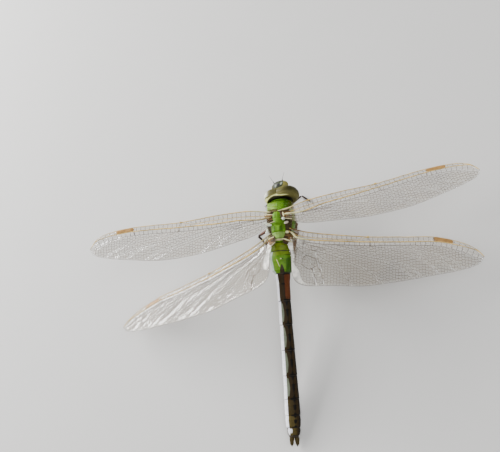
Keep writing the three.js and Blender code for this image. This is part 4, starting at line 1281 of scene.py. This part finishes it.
class Blade:
    """One wing: its edges, long veins and folds in its own plane, and the place where it is held.

    The wing lies with x from hinge to tip, y ahead and z up, in mm. Row k of across, y and z is the long vein k.
    """

    def __init__(self, name, wings):
        self.kind, side_name = name.split("_")
        self.side = SIDES[side_name]
        self.length = (wings.forewing if self.kind == "forewing" else wings.hindwing) / MM
        *hinge, sweep, lift, pitch, self.bend, sag = HOLDS[name]
        root = thorax_frame() @ Vector((self.side * wings.hinge_out / MM, *hinge))
        self.place = (
            Matrix.Translation(root) @ spin("Z", math.radians(self.side * sweep))
            @ spin("Y", math.radians(-self.side * lift)) @ spin("X", math.radians(pitch))
        )
        self.x = np.r_[np.linspace(0, 0.06, 60), np.linspace(0.061, 0.95, 460), np.linspace(0.951, 1, 80)] * self.length
        self.lead, trail = (self.edge(knots) for knots in OUTLINES[self.kind])
        self.chord = np.maximum(self.lead - trail, 0.02)
        self.lay_veins(wings.rib / MM, sag)

    def edge(self, knots):
        count = 900
        curve = spline([(x * self.length, y) for x, y in knots], count)
        return np.interp(self.x, np.maximum.accumulate(curve[:, 0]) + np.arange(count) * 1e-7, curve[:, 1])

    def lay_veins(self, rib, sag):
        """Sets across, y, z and the radius of every long vein, from the leading edge to the trailing edge."""
        u = self.x / self.length
        across, tall, self.radii = [np.zeros(len(u))], [0.0], [rib]
        for parent, height, radius, course in VEINS[self.kind]:
            us, vs = np.array(course).T
            here = np.interp(u, us, vs)
            if len(across) > 1:
                here = here + sag * hump(u, 0.1, 0.08) * (1 - here)
            across.append(np.where(u < us[0], across[parent], here))
            tall.append(height)
            self.radii.append(radius)
        across.append(np.ones(len(u)))
        tall.append(0.0)
        self.radii.append(EDGE_RADIUS)
        self.across = np.maximum.accumulate(np.array(across), axis=0)
        self.y = self.lead - self.across * self.chord
        fade = 1 - 0.75 * u
        self.z = [np.zeros(len(u))]
        for k in range(1, len(across)):
            own = tall[k] * fade * (1 - step(self.across[k], 0.75, 1)) * (0.4 if k > RIBS else 1)
            gap = self.y[k - 1] - self.y[k]
            self.z.append(self.z[-1] + (own - self.z[-1]) * step(gap, 0, 0.8))
        self.z = np.array(self.z)

    def held(self, x, y, z):
        """Where a point of the flat wing lies in the world: bent up towards the tip, wavy, and finely rippled."""
        u = x / self.length
        bend = self.bend * self.length * u**2 + 0.12 * np.sin(x * 0.55) * u * (1 - u)
        ripple = 0.034 * np.sin(2.9 * y + 1.75 * x + 1.1 * np.sin(0.5 * x + 0.3 * y)) * step(u, 0.2, 0.6)
        return moved(self.place, np.stack([self.side * x, y, z + (bend + ripple)], -1))

    def on_line(self, k, x):
        return np.interp(x, self.x, self.y[k]), np.interp(x, self.x, self.z[k])

    def at(self, u, v):
        """Place in the flat wing of a share of the length and a share across."""
        x = np.asarray(u) * self.length
        v = np.broadcast_to(v, x.shape)
        y = np.interp(x, self.x, self.lead) - v * np.interp(x, self.x, self.chord)
        z = np.empty(x.shape)
        for spot, one_x in np.ndenumerate(x):
            column = min(np.searchsorted(self.x, one_x), len(self.x) - 1)
            line = min(np.searchsorted(self.across[:, column], v[spot]), len(self.z) - 1)
            z[spot] = np.interp(one_x, self.x, self.z[line])
        return x, y, z


def runs(wanted):
    """The unbroken stretches of a row of yes and no, each as its places in the row."""
    spots = np.flatnonzero(wanted)
    return np.split(spots, np.flatnonzero(np.diff(spots) > 1) + 1)


def seeds_between(blade, k, low, high, rng):
    """Scattered cell middles between two neighbouring long veins, in staggered rows."""
    pitch = LADDER if k < RIBS else CELL
    count = max(1, round((high - low) / pitch))
    seeds = []
    for i in range(count):
        x = low + (i + 0.5) * (high - low) / count
        top, bottom = blade.on_line(k, x)[0], blade.on_line(k + 1, x)[0]
        rows = 1 if k < RIBS else max(1, round((top - bottom) / CELL))
        for j in range(rows):
            down = 0.5 if rows == 1 else (j + 0.28 + 0.44 * (i % 2)) / rows
            shake = rng.normal(0, (0.06, 0.07), 2) * (pitch, 1 / rows) * (0.4 if rows == 1 else 1)
            down = np.clip(down + shake[1], 0.08, 0.92)
            seeds.append((np.clip(x + shake[0], low, high), top - down * (top - bottom)))
    return np.array(seeds)


def with_images(blade, k, low, high, seeds):
    """The seeds, and their mirror images past every border of the field, so that the cells end at the border."""
    images = [seeds]
    for line in (k, k + 1):
        image = seeds.copy()
        image[:, 1] = 2 * blade.on_line(line, seeds[:, 0])[0] - seeds[:, 1]
        images.append(image)
    for end in (low, high):
        near = seeds[np.abs(seeds[:, 0] - end) < 3]
        images.append(np.stack([2 * end - near[:, 0], near[:, 1]], 1))
    return np.vstack(images)


def circle_middles(a, b, c):
    """Middle of the circle through each set of three points."""
    d = 2 * (a[:, 0] * (b[:, 1] - c[:, 1]) + b[:, 0] * (c[:, 1] - a[:, 1]) + c[:, 0] * (a[:, 1] - b[:, 1]))
    d = np.where(np.abs(d) < 1e-9, 1e-9, d)
    aa, bb, cc = ((p**2).sum(1) for p in (a, b, c))
    x = (aa * (b[:, 1] - c[:, 1]) + bb * (c[:, 1] - a[:, 1]) + cc * (a[:, 1] - b[:, 1])) / d
    y = (aa * (c[:, 0] - b[:, 0]) + bb * (a[:, 0] - c[:, 0]) + cc * (b[:, 0] - a[:, 0])) / d
    return np.stack([x, y], 1)


def cells_round(blade, k, low, high, seeds):
    """Corners of the cells round the seeds, middles of the cells, the corners round each middle, and the cross veins
    as pairs of corners."""
    points = [Vector(p) for p in with_images(blade, k, low, high, seeds)]
    placed, _, triangles, origin, _, _ = delaunay_2d_cdt(points, [], [], 0, 1e-6)
    placed = np.array([(p.x, p.y) for p in placed])
    real = [any(o < len(seeds) for o in sources) for sources in origin]
    triangles = np.array([t for t in triangles if len(t) == 3])
    corners = circle_middles(*(placed[triangles[:, i]] for i in range(3)))
    corners[:, 0] = np.clip(corners[:, 0], low, high)
    top, bottom = blade.on_line(k, corners[:, 0])[0], blade.on_line(k + 1, corners[:, 0])[0]
    corners[:, 1] = np.clip(corners[:, 1], bottom, top)
    round_seed, pairs = {}, {}
    for index, triangle in enumerate(triangles.tolist()):
        for p, q in zip(triangle, triangle[1:] + triangle[:1]):
            if real[p]:
                round_seed.setdefault(p, []).append(index)
            if real[p] and real[q]:
                pairs.setdefault((min(p, q), max(p, q)), []).append(index)
    fans, middles = [], []
    for p, around in round_seed.items():
        angles = np.arctan2(corners[around][:, 1] - placed[p, 1], corners[around][:, 0] - placed[p, 0])
        order = [around[i] for i in np.argsort(angles)]
        middles.append(corners[order].mean(0))
        fans.append(order)
    links = np.array([two for two in pairs.values() if len(two) == 2], int).reshape(-1, 2)
    return corners, np.array(middles), fans, links


def cells_between(blade, k, rng):
    """The cells of one field, for each stretch where its two long veins stand apart."""
    stretches = []
    for run in runs(blade.y[k] - blade.y[k + 1] > 0.1):
        if len(run) < 4:
            continue
        low, high = blade.x[run[0]], blade.x[run[-1]]
        if high - low < 0.4:
            continue
        stretches.append(cells_round(blade, k, low, high, seeds_between(blade, k, low, high, rng)))
    return stretches


def heights(blade, k, xy):
    """Height of the film between two neighbouring long veins."""
    (top, above), (bottom, below) = blade.on_line(k, xy[:, 0]), blade.on_line(k + 1, xy[:, 0])
    down = np.clip((top - xy[:, 1]) / np.maximum(top - bottom, 1e-6), 0, 1)
    return above + (below - above) * down


def sheet_of_cells(top, low, corners, fans, side):
    """A closed thin sheet: fans of triangles above, the same below, and a wall along its border."""
    total = len(top)
    upper = []
    for index, order in enumerate(fans):
        for i, corner in enumerate(order):
            upper.append((corners + index, corner, order[(i + 1) % len(order)]))
    edges = {(face[i], face[(i + 1) % 3]) for face in upper for i in range(3)}
    walls = [(b, a, a + total, b + total) for a, b in edges if (b, a) not in edges]
    faces = upper + [(c + total, b + total, a + total) for a, b, c in upper] + walls
    if side < 0:
        faces = [tuple(reversed(face)) for face in faces]
    return np.vstack([top, low]), faces


class DARNER_OT_wings(bpy.types.Operator):
    """Builds the four wings: clear film in small cells, a net of veins, the leading ribs, wing spots and hinges"""

    bl_idname = "darner.wings"
    bl_label = "Wings"

    def execute(self, context):
        wings = context.scene.darner_wings
        plates = {"cream": context.scene.darner_body.cream, "dark": (0.04, 0.024, 0.009), "grey_and_sheen": (0.7, 0.76, 0.64)}
        finishes = {
            "film": film_finish("wing_film", wings),
            "net": vein_finish("wing_net", wings.brown),
            "ribs": vein_finish("wing_ribs", wings.gold, 0.28),
            "spot": shell_finish("wing_spot", wings.stigma, mottle=0.2, grain=0.01),
            "hinge": shell_finish("wing_hinge", (0.18, 0.095, 0.03), plates, roughness=0.55, gloss=0.15),
            "root": vein_finish("wing_root_skin", (0.75, 0.73, 0.66), 0.6),
        }
        for index, name in enumerate(HOLDS):
            blade = Blade(name, wings)
            rng = np.random.default_rng(wings.seed + index)
            cross_veins = self.film(name, blade, wings, finishes["film"], rng)
            self.net_and_ribs(name, blade, cross_veins, finishes)
            self.spot(name, blade, finishes["spot"])
            self.hinge(name, blade, finishes["hinge"])
            if blade.kind == "hindwing":
                self.root_skin(name, blade, finishes["root"])
        return {"FINISHED"}

    def film(self, name, blade, wings, finish, rng):
        """The clear film. Gives the cross veins between its cells."""
        half, vein = wings.film_depth / MM / 2, wings.vein / MM
        sheets, starts, ends, radii = [], [], [], []
        for k in range(len(blade.y) - 1):
            for corners, middles, fans, links in cells_between(blade, k, rng):
                flat = np.vstack([corners, middles])
                z = heights(blade, k, flat)
                pucker = 0.022 + 0.05 * step(middles[:, 0], 0.15 * blade.length, 0.6 * blade.length)
                z[len(corners):] += rng.normal(0.02, 1, len(middles)) * pucker
                top, low = (blade.held(flat[:, 0], flat[:, 1], z + lift) for lift in (half, -half))
                sheets.append(sheet_of_cells(top, low, len(corners), fans, blade.side))
                if len(links):
                    place = blade.held(corners[:, 0], corners[:, 1], z[:len(corners)])
                    starts.append(place[links[:, 0]])
                    ends.append(place[links[:, 1]])
                    radii.append(np.full(len(links), vein * (1.5 if k < RIBS else 1)))
        film = piece(f"{name}_film", *join(sheets), finish, "wing")
        self.weld(film)
        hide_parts(name)
        starts, ends, radii = np.vstack(starts), np.vstack(ends), np.concatenate(radii)
        long_enough = np.linalg.norm(ends - starts, axis=1) > 0.06
        return rods(starts[long_enough], ends[long_enough], radii[long_enough])

    def weld(self, made):
        """Joins the cells' sheets along their borders."""
        work = bmesh.new()
        work.from_mesh(made.data)
        bmesh.ops.remove_doubles(work, verts=work.verts, dist=2e-6)
        bmesh.ops.dissolve_degenerate(work, edges=work.edges, dist=1e-6)
        bmesh.ops.delete(work, geom=[v for v in work.verts if not v.link_faces], context="VERTS")
        work.to_mesh(made.data)
        work.free()

    def net_and_ribs(self, name, blade, cross_veins, finishes):
        net, ribs = [cross_veins], []
        for k, radius in enumerate(blade.radii):
            kept = ribs if k < RIBS else net
            kept += [tube(path, radius * taper) for path, taper in self.course(blade, k)]
        for brace in BRACES[blade.kind]:
            net.append(tube(blade.held(*blade.at(*np.array(brace).T)), BRACE_RADIUS))
        knot = blade.at(KNOTS[blade.kind] + np.linspace(-0.008, 0.008, 7), 0.004)
        ribs.append(tube(blade.held(*knot), [0.1, 0.2, 0.25, 0.27, 0.25, 0.2, 0.1], 8))
        piece(f"{name}_net", *join(net), finishes["net"], "wing")
        piece(f"{name}_ribs", *join(ribs), finishes["ribs"], "wing")

    def course(self, blade, k):
        """The stretches of one long vein where it stands apart from the vein that it branches from."""
        at_edge = k in (0, len(blade.y) - 1)
        apart = (blade.y[k - 1] - blade.y[k] > 0.03) & (blade.across[k] < 0.999)
        for run in runs(apart | at_edge):
            if len(run) < 6:
                continue
            picked = np.unique(np.r_[run[::4], run[-60::2], run[-1]] if at_edge else np.r_[run[::5], run[-1]])
            x = blade.x[picked]
            yield blade.held(x, blade.y[k][picked], blade.z[k][picked]), 1 - 0.5 * x / blade.length

    def spot(self, name, blade, finish):
        """The thick cell near the tip, between the leading edge and the vein behind it."""
        def place(t, angle):
            x = (SPOT[0] + t * (SPOT[1] - SPOT[0]) + 0.008 * np.sin(angle)) * blade.length
            (lead, _), (back, _) = blade.on_line(0, x), blade.on_line(2, x)
            ends = rounded(t, 12, 0.02)
            y = (lead + back) / 2 + (lead - back) / 2 * ends * boxy(np.cos(angle), 0.7)
            return blade.held(x, y, 0.05 + 0.16 * np.sin(angle) * ends)

        points, faces, _ = loft(place, 40, 24)
        piece(f"{name}_spot", points, facing_out(points, faces), finish, "wing")

    def hinge(self, name, blade, finish):
        """Soft skin at the root of a wing, the hard plates in it, the thick stems of the long veins, and the cord."""
        lead, trail = blade.lead[0], blade.lead[0] - blade.chord[0]
        right = blade.side > 0
        # The right hindwing's root is drawn out from under the thorax, so its stems start later and its cord is thick.
        drawn_out = name == "hindwing_right"

        def skin(t, angle):
            ends = rounded(t, 6, 0.01)
            x = -0.25 + 1.15 * np.cos(angle) * ends
            y = trail + 0.15 + (lead - trail) * t
            return blade.held(x, y, -0.1 + 0.14 * np.sin(angle) * ends + 0.05 * np.sin(y * 5))

        # Each part with how pale, dark and grey it is.
        parts = [(loft(skin, 40, 20)[:2], (0, 0.75, 0))]
        stretch = np.array([1, (lead - trail) / COMMON_HINGE, 1])
        plates = [(np.array(at) * stretch, np.array(radii) * stretch, slope, (*tones[right], 0))
                  for at, radii, slope, *tones in HINGE_PLATES]
        for at, radii, slope, tones in (*plates, *SINGLE_PLATES[name]):
            def place(t, angle):
                y, x, z = boxy(ball(t * np.pi, angle), 0.8)
                x = x * radii[0] + at[0]
                return blade.held(x, y * radii[1] + at[1] + slope * (x - at[0]), z * radii[2] + at[2])

            parts.append((loft(place, 16, 20)[:2], tones))
        start = 0.1 if drawn_out else -0.45
        for k, thick, pale in ((0, 0.1, 0.05 if drawn_out else 0.6), (2, 0.24, 0.9 if right else 0.45)):
            x = np.linspace(start, 0.13 * blade.length, 40)
            y, z = blade.on_line(k, x)
            taper = np.linspace(1, 0, 40) ** 0.8 * step(x, start, start + 0.9)
            parts.append((tube(blade.held(x, y, z + 0.05), 0.06 + thick * taper, 10), (pale, 0, 0)))
        back, thick = (trail + 1.1, 0.2) if drawn_out else (trail, 0.1)
        cord = ((1.2, back - 0.3, 0.1), (0.4, back, 0.15), (-0.5, back + 0.25, 0.25), (-1.5, back + 0.4, 0.3))
        radii = thick * (1 - 0.5 * np.linspace(-1, 1, 24) ** 2)
        parts.append((tube(blade.held(*spline(cord, 24).T), radii, 8), (0.9 if right else 0.6, 0, 0)))
        tones = np.vstack([np.broadcast_to(tones, (len(points), 3)) for (points, _), tones in parts])
        points, faces = join([(points, facing_out(points, faces)) for (points, faces), _ in parts])
        piece(f"{name}_hinge", points, faces, finish, "thorax_green", dict(zip(("cream", "dark", "grey_and_sheen"), tones.T)))

    def root_skin(self, name, blade, finish):
        """The whitish flap at the inner corner of a hindwing."""
        wide = 0.062 if blade.side < 0 else 0.034

        def upper(t, angle):
            u = 0.002 + (wide * np.sin(np.pi * t**0.8) + 0.006) * (0.5 + 0.5 * np.cos(angle))
            x, y, z = blade.at(u, 0.34 + 0.66 * t)
            return blade.held(x, y, z * 0.5 + 0.05 * np.sin(angle))

        def corner(t, angle):
            """The broad lower end of the flap, along the wing's inner corner."""
            count = 200
            outer, inner = (
                np.stack([np.interp(t, np.linspace(0, 1, count), edge[:, k]) for k in (0, 1)], -1)
                for edge in (spline(knots, count) for knots in CORNER_FLAP)
            )
            flat = outer + (inner - outer) * (0.5 - 0.5 * np.cos(angle))[..., None]
            return blade.held(flat[..., 0], flat[..., 1], 0.07 + 0.05 * np.sin(angle))

        parts = [loft(upper, 30, 16)[:2]]
        if blade.side > 0:
            parts.append(loft(corner, 40, 16)[:2])
        points, faces = join([(points, facing_out(points, faces)) for points, faces in parts])
        piece(f"{name}_root_skin", points, faces, finish, "wing")


# ---- Legs ----------------------------------------------------------------------------------------------------------
# Hip in the thorax's frame, lengths of thigh, shin and foot, thickness. Then for the left and the right side the ankle
# from the waist and about where the knee is, with x outward and z from the floor, and the foot's turn outward.
LEGS = {
    "foreleg": (
        (1.5, 9.4, -3.7), 6.4, 6.0, 2.9, 0.5,
        ((4.1, 18.4), (0.9, 14.1, 3.4), 129),
        ((4.1, 18.4), (0.9, 14.1, 3.4), 129),
    ),
    "midleg": (
        (2.0, 7.0, -4.7), 6.6, 6.0, 3.4, 0.55,
        ((4.6, 2.4), (8.4, 6.4, 2.6), 172),
        ((1.7, 8.3), (1.5, 2.6, 2.2), -12),
    ),
    "hindleg": (
        (2.1, 4.6, -4.7), 8.4, 8.0, 3.6, 0.58,
        ((3.0, 3.1), (3.2, -3.2, 5.4), 175),
        ((0.9, 3.45), (1.2, -2.9, 5.2), 185),
    ),
}
# Radius of a bristle's foot in mm.
BRISTLE_RADIUS = 0.045


def knee_of(hip, ankle, thigh, shin, pole):
    """Where the knee lies, bent towards the pole, for a thigh and a shin of these lengths."""
    reach = ankle - hip
    span = min(reach.length, (thigh + shin) * 0.999)
    along = (thigh**2 - shin**2 + span**2) / (2 * span)
    out = math.sqrt(max(0, thigh**2 - along**2))
    reach.normalize()
    bent = (pole - reach * pole.dot(reach)).normalized()
    return hip + reach * along + bent * out


def limb(start, end, shape, count=28, sides=14):
    """A closed limb joint from start to end, with its radius from shape(t)."""
    t = np.linspace(0, 1, count)
    path = np.array(start)[None] * (1 - t)[:, None] + np.array(end)[None] * t[:, None]
    points, faces = tube(path, shape(t), sides)
    return points, facing_out(points, faces)


def bristles(start, end, count, size, rng, proud, row_angles=(-35, 35)):
    """Rows of spikes under a limb joint, leaning towards its far end. proud is how far their feet are from its axis."""
    ahead = (end - start).normalized()
    down = (Vector((0, 0, -1)) + ahead * ahead.z).normalized()
    across = ahead.cross(down)
    roots, tips = [], []
    for angle in row_angles:
        out = down * math.cos(math.radians(angle)) + across * math.sin(math.radians(angle))
        lean = (out * 0.85 + ahead * 0.5).normalized()
        for i in range(count):
            t = 0.12 + 0.8 * (i + 0.3 * rng.random()) / count
            root = start.lerp(end, t) + out * proud
            roots.append(root - out * 0.08)
            tips.append(root + lean * size * (0.75 + 0.3 * rng.random()) * math.sin(math.pi * (0.25 + 0.6 * t)))
    return cones(np.array(roots), np.array(tips), BRISTLE_RADIUS, 4)


class DARNER_OT_legs(bpy.types.Operator):
    """Builds the six legs: thighs, bristled shins, and feet with two claws"""

    bl_idname = "darner.legs"
    bl_label = "Legs"

    def execute(self, context):
        legs = context.scene.darner_legs
        upper_finish = shell_finish("thigh_shell", legs.shell, {"dark": legs.dark}, roughness=0.3, coat=0.25)
        lower_finish = shell_finish("shin_shell", legs.dark, {"dark": shade(legs.dark, 0.6)}, coat=0.15)
        sole, spine = legs.sole / MM, legs.spine / MM
        ground = Vector((*waist().xy, 0))
        for leg_name, (hip, thigh, shin, foot, thick, *holds) in LEGS.items():
            for (side_name, side), (ankle, bent, turned) in zip(SIDES.items(), holds):
                name = f"{leg_name}_{side_name}"
                rng = np.random.default_rng(len(name) * 7 + (side > 0) + turned % 360)
                hip_at = thorax_frame() @ Vector((side * hip[0], *hip[1:]))
                ankle_at = Vector((side * ankle[0], ankle[1], sole * 0.7 + 0.12)) + ground
                hip_end = hip_at + Vector((side * 1.1, 0, -1.5))
                pole = Vector((side * bent[0], *bent[1:])) + ground - hip_end
                knee = knee_of(hip_end, ankle_at, thigh, shin, pole)
                self.upper(name, hip_at, hip_end, knee, thick, rng, upper_finish)
                self.shin(name, knee, ankle_at, thick, spine, rng, lower_finish)
                heading = math.radians(90 - side * turned)
                self.foot(name, ankle_at, foot, heading, sole, lower_finish)
        return {"FINISHED"}

    def upper(self, name, hip, hip_end, knee, thick, rng, finish):
        """Hip, the ring below it, and the thigh with its short bristles."""
        way = (knee - hip_end).normalized()

        def thigh_shape(t):
            return thick * (1.02 - 0.32 * t + 0.16 * hump(t, 0.96, 0.05)) * rounded(t, 14, 0.05, 1.02)

        parts = [
            limb(hip, hip_end, lambda t: thick * (1.5 - 0.45 * t) * rounded(t, 8, 0.05, 1.02)),
            limb(hip_end - way * 0.1, hip_end + way * 0.75, lambda t: thick * (0.95 + 0.2 * np.sin(np.pi * t)), 12),
            limb(hip_end + way * 0.45, knee - way * 0.12, thigh_shape),
            bristles(hip_end, knee, 12, 0.45, rng, thick * 0.85),
        ]
        root, ring, _, spikes = (len(points) for points, _ in parts)
        dark = [np.zeros(root), np.full(ring, 0.3), np.repeat(np.linspace(0, 1, 28), 14) ** 3, np.ones(spikes)]
        made = piece(f"{name}_thigh", *join(parts), finish, "leg", {"dark": np.concatenate(dark)})
        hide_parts(f"{name}_coxa", f"{name}_femur")

    def shin(self, name, knee, ankle, thick, spine, rng, finish):
        way = (ankle - knee).normalized()
        top, bottom = thick * 0.62, 0.25

        def shape(t):
            return (top + (bottom - top) * t + 0.1 * hump(t, 0.03, 0.04)) * rounded(t, 16, 0.05, 1.02)

        shaft = limb(knee - way * 0.05, ankle - way * 0.1, shape)
        spikes = bristles(knee, ankle, 9, spine, rng, 0.24, (-50, 50))
        dark = np.r_[np.zeros(len(shaft[0])), np.full(len(spikes[0]), 0.6)]
        made = piece(f"{name}_shin", *join([shaft, spikes]), finish, "leg", {"dark": dark})
        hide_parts(f"{name}_tibia")

    def foot(self, name, ankle, foot_length, heading, sole, finish):
        """Three joints flat on the floor, and two claws."""
        way = Vector((math.cos(heading), math.sin(heading), 0))
        across = Vector((-way.y, way.x, 0))

        def at(t, lift, out=0):
            return Vector((ankle.x, ankle.y, 0)) + way * (0.1 + t * foot_length) + Vector((0, 0, lift)) + across * out

        parts = []
        for start, end in ((0, 0.3), (0.28, 0.6), (0.58, 0.98)):
            first, last = (at(t, sole * 0.75 + 0.1 * (1 - t)) for t in (start, end))
            parts.append(limb(first, last, lambda t: sole * (0.7 + 0.3 * t) * rounded(t, 10, 0.08, 1.02), 14, 12))
        for side in (-1, 1):
            hook = [
                at(0.96, sole * 0.8), at(1.06, sole * 1.15, side * 0.14),
                at(1.14, sole * 0.75, side * 0.24), at(1.17, 0.04, side * 0.27),
            ]
            parts.append(tube(spline(hook, 12), np.linspace(0.11, 0.025, 12), 6))
        points, faces = join([(points, facing_out(points, faces)) for points, faces in parts])
        made = piece(f"{name}_foot", points, faces, finish, "leg", {"dark": np.zeros(len(points))})
        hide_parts(f"{name}_tarsus")


# ---- Hair ----------------------------------------------------------------------------------------------------------
# Point inside the thorax that the hairs point away from, and the radius of a hair's foot, in mm.
HAIR_MIDDLE, HAIR_RADIUS = (0, 5.5, 0), 0.014


class DARNER_OT_hair(bpy.types.Operator):
    """Sets short fine hair on the front, sides and underside of the thorax"""

    bl_idname = "darner.hair"
    bl_label = "Thorax hair"

    def execute(self, context):
        body = context.scene.darner_body
        skin = thorax_skin(body.thorax_length / MM, body.seam / MM)
        rng = np.random.default_rng(body.hair_seed)
        t, angle = rng.uniform(0.04, 0.98, body.hairs), rng.uniform(0, 2 * np.pi, body.hairs)

        def at(t, angle):
            return np.stack(skin(t, angle), -1)

        root = at(t, angle)
        outward = np.cross(at(t, angle + 0.01) - root, at(t + 0.004, angle) - root)
        outward /= np.linalg.norm(outward, axis=1)[:, None]
        outward *= np.sign((outward * (root - HAIR_MIDDLE)).sum(1))[:, None]
        # The back is nearly bare, the front is thinly haired, and the sides and the underside are furry.
        on_back = (root[:, 2] > 1.6) & (root[:, 1] < 9.2)
        in_front = (root[:, 1] > 8.8) & (root[:, 2] > -1.5)
        keep = rng.random(len(t)) < np.where(on_back, 0.08, np.where(in_front, 0.3, 1.0))
        size = rng.uniform(0.35, 0.85, len(t)) * np.where(root[:, 2] < 0, 1.2, 0.8)
        lean = outward + np.array([0, -0.45, 0]) + rng.normal(0, 0.22, (len(t), 3))
        lean /= np.linalg.norm(lean, axis=1)[:, None]
        root, tip = root[keep] - outward[keep] * 0.03, (root + lean * size[:, None])[keep]
        points, faces = cones(moved(thorax_place(), root), moved(thorax_place(), tip), HAIR_RADIUS)
        sheet = Sheet("thorax_hair")
        tone = sheet.blend(sheet.noise(3, 2), (0.16, 0.15, 0.04), (0.34, 0.33, 0.13))
        finish = sheet.set(Base_Color=tone, Roughness=0.5, Sheen_Weight=0.3)
        hair = piece("thorax_hair", points, faces, finish, "thorax_green")
        self.flatten(hair, angle[keep] / (2 * np.pi), t[keep])
        return {"FINISHED"}

    def flatten(self, hair, round_share, along_share):
        """Gives each hair a small patch of the baked picture, set out as the hairs are round and along the thorax."""
        patch = np.array([(-1, -1), (1, -1), (0, 1), (0, 0)]) * 0.0015
        spot = np.stack([round_share, along_share], 1) * 0.99 + 0.005
        uv = (spot[:, None] + patch[None]).reshape(-1, 2)
        layer = hair.data.uv_layers.new(name="OFBake")
        corners = np.zeros(len(hair.data.loops), np.int32)
        hair.data.loops.foreach_get("vertex_index", corners)
        layer.data.foreach_set("uv", uv[corners].astype(np.float32).ravel())


# ---- Add-on --------------------------------------------------------------------------------------------------------
class DARNER_PT_panel(bpy.types.Panel):
    bl_label = "Green Darner"
    bl_idname = "DARNER_PT_panel"
    bl_space_type = "VIEW_3D"
    bl_region_type = "UI"
    bl_category = "Dragonfly"

    def draw(self, context):
        for operator in OPERATORS:
            self.layout.operator(operator.bl_idname)
        for pointer, settings in SETTINGS.items():
            box = self.layout.box()
            box.label(text=pointer.replace("darner_", "").capitalize())
            for name in settings.__annotations__:
                box.prop(getattr(context.scene, pointer), name)


SETTINGS = {
    "darner_body": BodySettings,
    "darner_head": HeadSettings,
    "darner_wings": WingSettings,
    "darner_legs": LegSettings,
    "darner_stage": StageSettings,
}
OPERATORS = (
    DARNER_OT_camera,
    DARNER_OT_stage,
    DARNER_OT_thorax,
    DARNER_OT_tail,
    DARNER_OT_head,
    DARNER_OT_wings,
    DARNER_OT_legs,
    DARNER_OT_hair,
)
CLASSES = (*SETTINGS.values(), *OPERATORS, DARNER_PT_panel)


def register():
    for each in CLASSES:
        bpy.utils.register_class(each)
    for pointer, settings in SETTINGS.items():
        setattr(bpy.types.Scene, pointer, PointerProperty(type=settings))


def unregister():
    for pointer in SETTINGS:
        delattr(bpy.types.Scene, pointer)
    for each in reversed(CLASSES):
        bpy.utils.unregister_class(each)


def main():
    register()
    for operator in OPERATORS:
        group, call = operator.bl_idname.split(".")
        getattr(getattr(bpy.ops, group), call)()
    boxes = {"cad": cad_box, "visual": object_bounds()}
    {name: [list(corner) for corner in box] for name, box in boxes.items()}


if __name__ == "__main__":
    main()
